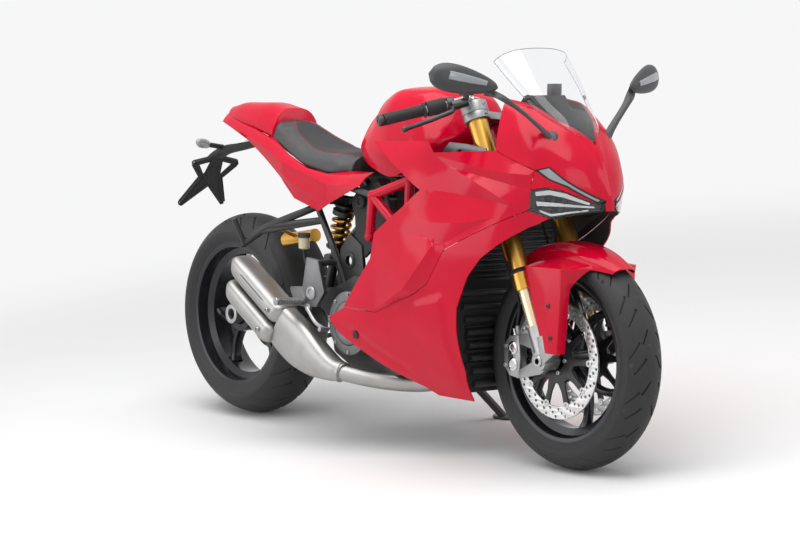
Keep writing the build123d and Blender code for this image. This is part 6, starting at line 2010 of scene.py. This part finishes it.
@dataclass
class Machinery:
    """Engine, frame, cooling, swingarm, shock and the pieces round the feet.

    Attributes:
        clutch: Centre of the clutch cover's foot.
        generator: Centre of the generator cover's foot.
        radiator: Middle of the radiator.
        radiator_way: Direction of its face.
        coil: Radius of the spring's coils.
        wire: Radius of its wire.
        coils: Number of its coils.
        hanger_face: Direction of the plate bracket's face.
    """

    clutch: tuple[float, float, float] = (-30.0, -128.0, 345.0)
    generator: tuple[float, float, float] = (100.0, 128.0, 352.0)
    radiator: tuple[float, float, float] = (454.0, 0.0, 572.0)
    radiator_way: tuple[float, float, float] = (0.985, 0.0, -0.174)
    coil: float = 26.0
    wire: float = 6.0
    coils: float = 5.2
    hanger_face: tuple[float, float, float] = (-0.842, 0.0, 0.54)

    def build(self) -> None:
        """Builds and dresses the machinery."""
        dress(Finishes.RED_METAL, "trellis_frame")
        dress(Finishes.GOLD, "shock_reservoir")
        dress(Finishes.BLACK_METAL, "subframe", "rear_shock")
        softened("engine", Body.CHASSIS, Finishes.ENGINE, 3.0)
        softened("front_cylinder", Body.CHASSIS, Finishes.ENGINE, 1.2)
        softened("rear_cylinder", Body.CHASSIS, Finishes.ENGINE, 1.2)
        softened("radiator", Body.CHASSIS, Finishes.BLACK_METAL, 2.0)
        softened("swingarm", Body.CHASSIS, Finishes.BLACK_METAL, 7.0)
        softened("rear_caliper", Body.CHASSIS, Finishes.BLACK_METAL, 3.0)
        softened("side_stand", Body.STAND, Finishes.BLACK_METAL, 2.0)
        softened("footrest_plates", Body.CHASSIS, Finishes.COVER, 2.5)
        softened("pillion_hangers", Body.CHASSIS, Finishes.BLACK_METAL, 2.0)
        softened("belly_inlet", Body.CHASSIS, Finishes.BLACK, 4.0)
        self._covers()
        self._cooling()
        self._feet()
        self._louvres()
        self._spring()
        self._hugger()
        self._side_covers()
        self._plate_hanger()
        self._pillion_arms()
        self._rear_indicators()

    def _covers(self) -> None:
        """Round, stepped engine covers and their bolts."""
        wide = [(40, 0), (40, 92), (46, 92), (47, 88), (47, 66), (51, 64), (54, 58), (54, 30), (51, 26), (51, 0)]
        clutch = Form.lathe(wide, self.clutch, (0, -1, 0), 72)
        small = [(34, 0), (34, 76), (40, 76), (41, 72), (41, 52), (44, 50), (46, 44), (46, 20), (43, 17), (43, 0)]
        generator = Form.lathe(small, self.generator, (0, 1, 0), 72)
        Piece("engine_covers", Body.CHASSIS, Finishes.COVER).make(Form.joined([clutch, generator]))
        spots = []
        for (x, y, z), way, radius, lift in ((self.clutch, -1, 84, 46), (self.generator, 1, 68, 40)):
            spots += [((along, y + way * lift, rise), (0, way, 0)) for along, rise in circle(radius, 8, (x, z))]
        bolts("cover_bolts", Body.CHASSIS, spots, 5.5)

    def _cooling(self) -> None:
        """Fine fins across the radiator's face, and the flat tubes between them."""
        plane = upright(Vector(self.radiator) + Vector(self.radiator_way) * 23.0, (0, 1, 0), self.radiator_way)
        fin = Form.plate([[(-140, -0.5), (140, -0.5), (140, 0.5), (-140, 0.5)]], 5.0, 0.2, Matrix())
        rows = [fin.moved(plane @ Matrix.Translation((0, -66 + step * 5.0, 0))) for step in range(27)]
        Piece("radiator_fins", Body.CHASSIS, Finishes.DARK_STEEL).make(Form.joined(rows))
        tubes = [plane @ Matrix.Translation((0, -63.5 + step * 10.0, -2)) for step in range(13)]
        strips = [Form.plate([[(-141, -1.4), (141, -1.4), (141, 1.4), (-141, 1.4)]], 3.0, 0.4, place)
                  for place in tubes]
        Piece("radiator_tubes", Body.CHASSIS, Finishes.BLACK_METAL).make(Form.joined(strips))

    def _feet(self) -> None:
        """Ribbed pegs, foot controls and the rear master cylinder with its pot."""
        pivots = []
        start, end = Vector((-222.0, -192.0, 396.0)), Vector((-232.0, -284.0, 400.0))
        way = (end - start).normalized()
        profile = [(14, 0), (14, 9.5)]
        for rib in range(13):
            place = 16 + rib * 5.6
            profile += [(place, 9.6), (place + 0.4, 11.6), (place + 3.0, 11.6), (place + 3.4, 9.6)]
        peg = Form.lathe([*profile, (91, 9.6), (95, 12.5), (97, 11), (97, 0)], start, way, 28)
        pivots.append(Form.lathe([(0, 0), (0, 20), (4, 20), (6, 18), (6, 12), (3, 11), (3, 0)], (-180, -194, 424),
                                 (0, -1, 0), 48))
        pivots.append(Form.lathe([(0, 0), (0, 12), (8, 12), (9, 10), (9, 0)], (-190, -194, 380), (0, -1, 0), 36))
        pedal = Form.pipe([(-188, -204, 380), (-160, -206, 350), (-120, -210, 330), (-84, -212, 326)], 6.0, 5, 3)
        toe = Form.rod((-84, -204, 326), (-84, -240, 327), 7.0, 2.0, 20)
        lever = Form.pipe([(-180, 204, 392), (-140, 206, 372), (-96, 208, 366)], 5.5, 5, 3)
        tip = Form.rod((-96, 202, 366), (-96, 236, 366), 6.5, 2.0, 20)
        Piece("footrest_pegs", Body.CHASSIS, Finishes.SILVER).make(peg.both())
        Piece("foot_controls", Body.CHASSIS, Finishes.SILVER).make(Form.joined([*pivots, pedal, toe, lever, tip]))
        cylinder = Form.lathe([(0, 0), (0, 9), (12, 9), (14, 13), (62, 13), (66, 11), (66, 7), (84, 6), (84, 0)],
                              (-206, -176, 430), (-0.12, 0, 1), 32)
        Piece("rear_master_cylinder", Body.CHASSIS, Finishes.BLACK_METAL).make(cylinder)
        pot = Form.lathe([(0, 0), (0, 12), (3, 16), (34, 17), (34, 0)], (-246, -172, 548), (0, 0, 1), 40)
        lid = Form.lathe([(34, 0), (34, 18.5), (46, 18.5), (48, 17), (48, 0)], (-246, -172, 548), (0, 0, 1), 16)
        Piece("rear_fluid_pot", Body.CHASSIS, Finishes.FLUID).make(pot)
        Piece("rear_pot_lid", Body.CHASSIS, Finishes.BLACK).make(lid)
        hose = Form.pipe([(-246, -172, 548), (-246, -172, 520), (-226, -174, 500), (-214, -176, 514)], 4.2, 5, 3)
        Piece("rear_pot_hose", Body.CHASSIS, Finishes.BLACK).make(hose)

    def _louvres(self) -> None:
        """Rounded louvres of the duct behind the front wheel."""
        blades = []
        for step in range(8):
            rise = 206.0 + step * 36.0
            half = 96.0 + 0.16 * (rise - 206.0)
            middle = 432.0 - 0.045 * (rise - 206.0)
            sections = [Section((middle + 6 * math.cos(share * 1.5), half * share, rise), (1, 0, 0.35), (-0.35, 0, 1),
                                12, 8, 2.2)
                        for share in np.linspace(-1, 1, 15)]
            blades.append(limb(sections, count=16))
        Piece("duct_louvres", Body.CHASSIS, Finishes.GREY).make(Form.joined(blades))

    def _spring(self) -> None:
        """The shock's coil spring between its two seats."""
        low, high = Vector((-256.0, -62.0, 470.0)), Vector((-186.0, -62.0, 690.0))
        turned = upright(low, (0, 1, 0), high - low)
        length = (high - low).length
        path = []
        for step in range(121):
            share = step / 120
            turn = share * self.coils * math.tau
            place = Vector((self.coil * math.cos(turn), self.coil * math.sin(turn), length * (0.4 + 0.5 * share)))
            path.append(turned @ place)
        Piece("spring_coil", Body.CHASSIS, Finishes.GOLD, ("shock_spring",)).make(Form.pipe(path, self.wire, 4, 3))
        seats = [Form.lathe([(0, 10), (0, 31), (2, 33), (7, 33), (9, 31), (9, 10), (0, 10)],
                            low + (high - low) * share, high - low, 40)
                 for share in (0.35, 0.92)]
        Piece("spring_seats", Body.CHASSIS, Finishes.BLACK_METAL).make(Form.joined(seats))

    def _hugger(self) -> None:
        """The close guard ahead of the rear tyre, held on the swingarm."""
        rows = []
        for turn in np.radians(np.linspace(12.0, 50.0, 22)):
            row = []
            for share in np.linspace(-1.0, 1.0, 21):
                radius = 331.0 - 34.0 * abs(share) ** 3.0
                row.append((REAR_AXLE.x + radius * math.cos(turn), 84.0 * math.sin(share * math.pi / 2),
                            REAR_AXLE.z + radius * math.sin(turn)))
            rows.append(row)
        Piece("rear_hugger", Body.CHASSIS, Finishes.BLACK, wall=2.5, outward=False).make(Form.grid(rows))
        stays = [Form.rod((REAR_AXLE.x + 312.0, 78.0, REAR_AXLE.z + 88.0 + rise),
                          (REAR_AXLE.x + 312.0, 101.0, REAR_AXLE.z + 84.0 + rise), 6.0) for rise in (-16.0, 10.0)]
        Piece("hugger_stays", Body.CHASSIS, Finishes.BLACK_METAL).make(Form.joined(stays))

    def _side_covers(self) -> None:
        """Moulded covers between the frame and the seat, with two round bosses on each."""
        loop = [(-99, 695), (-81, 649), (-76, 581), (-34, 531), (8, 562), (44, 626), (92, 660), (63, 723), (30, 752),
                (-11, 749), (-66, 727)]
        drawn = Form.plate([list(reversed(loop))], 12.0, 4.0, side_plane(106.0), 3)
        rims = [Form.lathe([(0, 0), (0, 20), (5, 20), (8, 17), (8, 10), (4, 8), (4, 0)], (x, 116, z), (0, 1, 0), 40)
                for x, z in ((-43, 694), (36, 711))]
        Piece("side_covers", Body.CHASSIS, Finishes.BLACK).make(Form.joined([drawn, *rims]).both())
        casting = [(-160, 470), (-150, 436), (-60, 440), (-30, 490), (-40, 566), (-96, 600), (-140, 556)]
        eye = circle(15.0, 28, (-96, 520))
        flank = Form.plate([casting, eye], 12.0, 3.0, side_plane(112.0), 3)
        ring = Form.lathe([(0, 15), (0, 24), (4, 24), (6, 22), (6, 15), (0, 15)], (-96, 116, 520), (0, 1, 0), 40)
        Piece("pivot_castings", Body.CHASSIS, Finishes.BLACK_METAL).make(Form.joined([flank, ring]).both())

    def _plate_hanger(self) -> None:
        """The hanger under the tail: arm, star-shaped bracket with ribs and eyes, and the indicators' stalks."""
        tilt = (0.2, 0.0, 0.98)
        arm = limb([Section(place, (0, 1, 0), tilt, wide, tall, 3.6) for place, wide, tall in (
            ((-640, 0, 856), 22, 7), ((-700, 0, 852), 22, 9), ((-800, 0, 838), 20, 12), ((-890, 0, 826), 22, 15),
            ((-955, 0, 802), 25, 14), ((-974, 0, 794), 24, 10))], 5, 32)
        plane = upright((-951, 0, 786), (0, 1, 0), self.hanger_face)
        half = [(30, -18), (82, -4), (90, 10), (44, 66), (88, 166), (76, 170)]
        star = [*half, (0, 96), *[(-across, along) for across, along in reversed(half)]]
        windows = [[(side * across, along) for across, along in ((24, 0), (62, 10), (32, 50))] for side in (-1, 1)]
        eyes = [circle(4.5, 16, (side * across, along)) for side in (-1, 1) for across, along in ((80, 5), (79, 160))]
        forms = [arm, Form.plate([star, *eyes, *windows], 5.0, 1.2, plane, 2)]
        for side in (-1, 1):
            for far, near in (((86, 156), (42, 62)), ((76, 160), (4, 88)), ((84, 14), (40, 64)),
                              ((78, -2), (28, -14)), ((72, 150), (10, 20))):
                for lift in (-1.5, 6.5):
                    ends = [plane @ Vector((side * across, along, lift)) for across, along in (far, near)]
                    forms.append(Form.rod(*ends, 3.2, 1.0, 10))
            for across, along in ((80, 5), (79, 160)):
                forms.append(Form.lathe([(5, 5), (5, 9), (8, 9), (9, 8), (9, 5), (5, 5)],
                                        plane @ Vector((side * across, along, 0)), self.hanger_face, 24))
            forms.append(Form.rod((-892, side * 14, 834), (-888, side * 74, 843), 8.0, 1.5, 20))
        Piece("plate_hanger_cast", Body.CHASSIS, Finishes.BLACK, ("plate_hanger",)).make(Form.joined(forms))

    def _pillion_arms(self) -> None:
        """Two arms on each side, down to the passenger's footrests."""
        arms = []
        for points in (((-258, -114, 672), (-350, -156, 634), (-430, -188, 600), (-510, -204, 552)),
                       ((-226, -118, 632), (-330, -152, 616), (-428, -188, 598))):
            arms.append(limb([Section(place, (0.3, 0.2, 0.93), (0.4, -0.9, 0), 15 if rank else 12, 9, 3.0)
                              for rank, place in enumerate(points)], 5, 24))
        Piece("pillion_arms", Body.CHASSIS, Finishes.BLACK_METAL).make(Form.joined(arms).both())

    def _rear_indicators(self) -> None:
        """Lenses of the rear indicators."""
        lamps = []
        for side in (-1, 1):
            start, end = Vector((-889.0, side * 66.0, 843.0)), Vector((-879.0, side * 124.0, 851.0))
            way = (end - start).normalized()
            sections = [Section(start + way * far, (0.2, 0, 1), (1, 0, -0.2), radius, radius * 0.8, 2.4)
                        for far, radius in ((0, 5), (12, 13), (34, 15.5), (52, 13), (60, 7))]
            lamps.append(limb(sections, 4, 20))
        Piece("rear_indicators", Body.CHASSIS, Finishes.LAMP_AND_PAINTED_GLOW).make(Form.joined(lamps))


@dataclass
class Exhaust:
    """Collector and stacked silencers on the right.

    Attributes:
        way: Direction of the silencers to the rear.
        rise: Their own upward direction.
        root: Place where they start.
        stack: Half of the distance between both.
    """

    way: Vector = field(default_factory=lambda: Vector((-0.852, 0.0, 0.524)))
    rise: Vector = field(default_factory=lambda: Vector((0.524, 0.0, 0.852)))
    root: Vector = field(default_factory=lambda: Vector((-311.0, 0.0, 320.0)))
    stack: float = 35.0

    def build(self) -> None:
        """Builds the collector, the cans and their mouths, bolts and slit."""
        pipe = Form.pipe([(312, -40, 320), (306, -40, 230), (250, -52, 184), (120, -118, 180), (20, -172, 192),
                          (-46, -196, 206)], 24.0, 10, 4)
        box = limb([Section(place, (0, 1, 0), tall, wide, high, power) for place, tall, wide, high, power in (
            ((-24, -190, 204), (0.2, 0, 1), 26, 26, 2.2),
            ((-60, -196, 208), (0.2, 0, 1), 32, 32, 2.6),
            ((-130, -199, 228), (0.35, 0, 1), 35, 48, 3.0),
            ((-210, -200, 262), (0.5, 0, 0.9), 35, 66, 3.2),
            ((-280, -200, 300), (0.52, 0, 0.85), 36, 68, 3.4),
            ((-308, -200, 318), (0.52, 0, 0.85), 36, 66, 3.4),
        )], 5, 40)
        clamp = Form.lathe([(0, 24), (0, 29), (2, 31), (10, 31), (12, 29), (12, 24), (0, 24)], (-34, -192, 204),
                           (-0.93, -0.3, 0.2), 40)
        Piece("exhaust_collector", Body.CHASSIS, Finishes.PIPE, ("exhaust",),
              smooth=40.0).make(Form.joined([pipe, box, clamp]))
        cans, dark, spots = [], [], []
        for rank, side, length in ((1, -206.0, 262.0), (-1, -214.0, 238.0)):
            middle = self.root + self.rise * (self.stack * rank) + SIDE * side
            cans.append(self._can(middle, length))
            end = middle + self.way * (length - 4.0)
            dark.append(Form.lathe([(0, 0), (0, 23), (-3, 24), (-30, 22), (-30, 0)], end - self.way * 2.0, self.way,
                                   40))
            spots.append((middle + self.way * 34.0 - SIDE * 47.0, (0, -1, 0)))
        Piece("silencer_cans", Body.CHASSIS, Finishes.PIPE, ("silencers",), smooth=40.0).make(Form.joined(cans))
        Piece("silencer_mouths", Body.CHASSIS, Finishes.BLACK_METAL).make(Form.joined(dark))
        bolts("silencer_bolts", Body.CHASSIS, spots, 8.0)
        top = self.root + self.rise * self.stack + SIDE * -252.6
        slit = limb([Section(top + self.way * far + self.rise * 10.0, self.way, self.rise, 2.0, 1.0)
                     for far in (70.0, 200.0)], 4, 12)
        Piece("silencer_slit", Body.CHASSIS, Finishes.BLACK).make(slit)

    def _can(self, start: Vector, length: float) -> Form:
        """One silencer: tapered nose, flat flanks and a slanted tail with a rolled lip."""
        rows = []
        table = ((-6, 22, 28), (4, 30, 40), (22, 33, 46), (length * 0.5, 33, 46), (length - 30, 32, 45),
                 (length - 8, 30, 43), (length, 27, 40))
        fine = pchip(np.arange(7.0), np.array(table, float), np.linspace(0.0, 6.0, 31))
        for far, tall, wide in fine:
            drawn = rounded(tall, wide, 3.2, 44)
            slant = ramp(far, length * 0.6, length * 0.4) * 0.42
            ring = np.array(start) + np.outer(np.full(44, far) + drawn[:, 0] * slant, self.way)
            rows.append(ring + np.outer(drawn[:, 0], self.rise) + np.outer(drawn[:, 1], SIDE))
        last = rows[-1]
        middle = last.mean(0)
        rows.append(middle + (last - middle) * 0.9)
        rows.append(middle + (last - middle) * 0.84 - np.array(self.way) * 12.0)
        rows.append(middle + (last - middle) * 0.62 - np.array(self.way) * 14.0)
        return Form.grid(rows, ring=True, caps=True)


@dataclass
class Studio:
    """Pale floor, soft light and the camera that matches the photo.

    Attributes:
        eye: Camera's place over the upright bike.
        yaw: Its turn in degrees.
        pitch: Its fall in degrees.
        lens: Its focal length in millimetres.
        tone: Colour of the backdrop.
        backdrop: Brightness of the backdrop where it is seen.
        light: Brightness of the world where it lights.
    """

    eye: tuple[float, float, float] = (5390.0, -4339.0, 1017.0)
    yaw: float = 51.21
    pitch: float = 4.25
    lens: float = 107.1
    tone: tuple[float, float, float, float] = (0.93, 0.93, 0.935, 1.0)
    backdrop: float = 1.0
    light: float = 0.33

    def build(self) -> None:
        """Sets up floor, world, lights and camera."""
        self._world()
        self._floor()
        self._lights()
        self._camera()
        bpy.context.scene.view_settings.view_transform = "Standard"

    def _world(self) -> None:
        """White for what is seen, softer for what lights."""
        world = bpy.data.worlds.new("studio")
        world.use_nodes = True
        bpy.context.scene.world = world
        nodes = Nodes(world.node_tree)
        path = world.node_tree.nodes.new("ShaderNodeLightPath")
        seen = Value(nodes, path.outputs["Is Camera Ray"])
        for name in ("Is Glossy Ray", "Is Transmission Ray"):
            seen = nodes.math("MAXIMUM", seen, Value(nodes, path.outputs[name]))
        back = world.node_tree.nodes["Background"]
        back.inputs["Color"].default_value = self.tone
        strength = nodes.node("ShaderNodeMix", {"data_type": "FLOAT"}, {0: seen, 2: self.light, 3: self.backdrop})
        world.node_tree.links.new(strength.socket, back.inputs["Strength"])

    def _floor(self) -> None:
        """A wide floor that fades into the backdrop."""
        mesh = bpy.data.meshes.new("floor")
        far = 30.0
        mesh.from_pydata([(-far, -far, 0), (far, -far, 0), (far, far, 0), (-far, far, 0)], [], [(0, 1, 2, 3)])
        floor = linked("floor", mesh)
        shade = Shade("studio_floor")
        flat = shade.node("ShaderNodeVectorMath", {"operation": "MULTIPLY"}, {0: shade.place(), 1: (1.0, 1.0, 0.0)})
        reach = shade.node("ShaderNodeVectorMath", {"operation": "LENGTH"}, {0: flat}, output="Value")
        path = shade.tree.nodes.new("ShaderNodeLightPath")
        seen = shade.math("MAXIMUM", Value(shade, path.outputs["Is Camera Ray"]),
                          Value(shade, path.outputs["Is Glossy Ray"]))
        cloud = shade.noise(300.0)
        shade.set(Base_Color=shade.blend(cloud, (0.86, 0.86, 0.86, 1), (0.88, 0.88, 0.88, 1)), Roughness=0.85)
        glow = shade.node("ShaderNodeEmission", None, {"Color": self.tone, "Strength": self.backdrop})
        mix = shade.node("ShaderNodeMixShader", None, {0: reach.smoothed(1.3, 4.2) * seen,
                                                      1: Value(shade, shade.shader.outputs[0]), 2: glow})
        shade.tree.links.new(mix.socket, shade.tree.nodes["Material Output"].inputs["Surface"])
        mesh.materials.append(shade.material)

    def _lights(self) -> None:
        """Large soft boxes: overhead, at the rear right, at the front left and ahead."""
        for name, place, size, watts in (
            ("overhead", (0.4, -0.6, 4.0), (5.0, 4.0), 190.0),
            ("right_wall", (-2.4, -4.4, 1.9), (4.4, 2.6), 60.0),
            ("front_left", (4.5, 3.4, 2.4), (3.0, 2.4), 40.0),
            ("front", (5.5, -2.0, 2.6), (2.6, 2.0), 30.0),
        ):
            lamp = bpy.data.lights.new(name, "AREA")
            lamp.shape = "RECTANGLE"
            lamp.size, lamp.size_y = size
            lamp.energy = watts
            holder = linked(name, lamp)
            holder.location = place
            holder.rotation_euler = (Vector((0.0, 0.0, 0.5)) - Vector(place)).to_track_quat("-Z", "Y").to_euler()

    def _camera(self) -> None:
        """The camera, leaned with the bike so that the bike looks upright."""
        yaw, pitch = math.radians(self.yaw), math.radians(self.pitch)
        ahead = Vector((-math.sin(yaw) * math.cos(pitch), math.cos(yaw) * math.cos(pitch), -math.sin(pitch)))
        right = Vector((math.cos(yaw), math.sin(yaw), 0.0))
        above = right.cross(ahead)
        turned = Matrix((right, above, -ahead)).transposed().to_4x4()
        camera = bpy.data.cameras.new("photo")
        camera.sensor_fit = "HORIZONTAL"
        camera.sensor_width = 36.0
        camera.lens = self.lens
        camera.clip_end = 200.0
        holder = linked("photo", camera)
        holder.matrix_world = Matrix.Translation(STANCE.matrix @ Vector(self.eye)) @ STANCE.turn @ turned
        bpy.context.scene.camera = holder


def main() -> None:
    """Builds every sub-assembly, then the studio."""
    logging.basicConfig(level=logging.INFO, format="%(name)s %(message)s")
    front = Wheel("front", Body.FRONT_WHEEL, FRONT_AXLE, radius=300.0, half=60.0, drop=38.0, rim_half=46.0, hub=38.0,
                  hub_span=(-61.0, 61.0), spoke=13.0, sectors=14, turn=0.35)
    rear = Wheel("rear", Body.REAR_WHEEL, REAR_AXLE, radius=315.0, half=90.0, drop=50.0, rim_half=71.0, hub=56.0,
                 hub_span=(-60.0, 66.0), spoke=17.0, sectors=12, turn=0.0)
    for assembly in (front, rear, Brakes(), FrontEnd(), Drive(), Fairing(), Saddle(), Machinery(), Exhaust(),
                     Studio()):
        LOG.info("building %s", type(assembly).__name__)
        assembly.build()


if __name__ == "__main__":
    main()
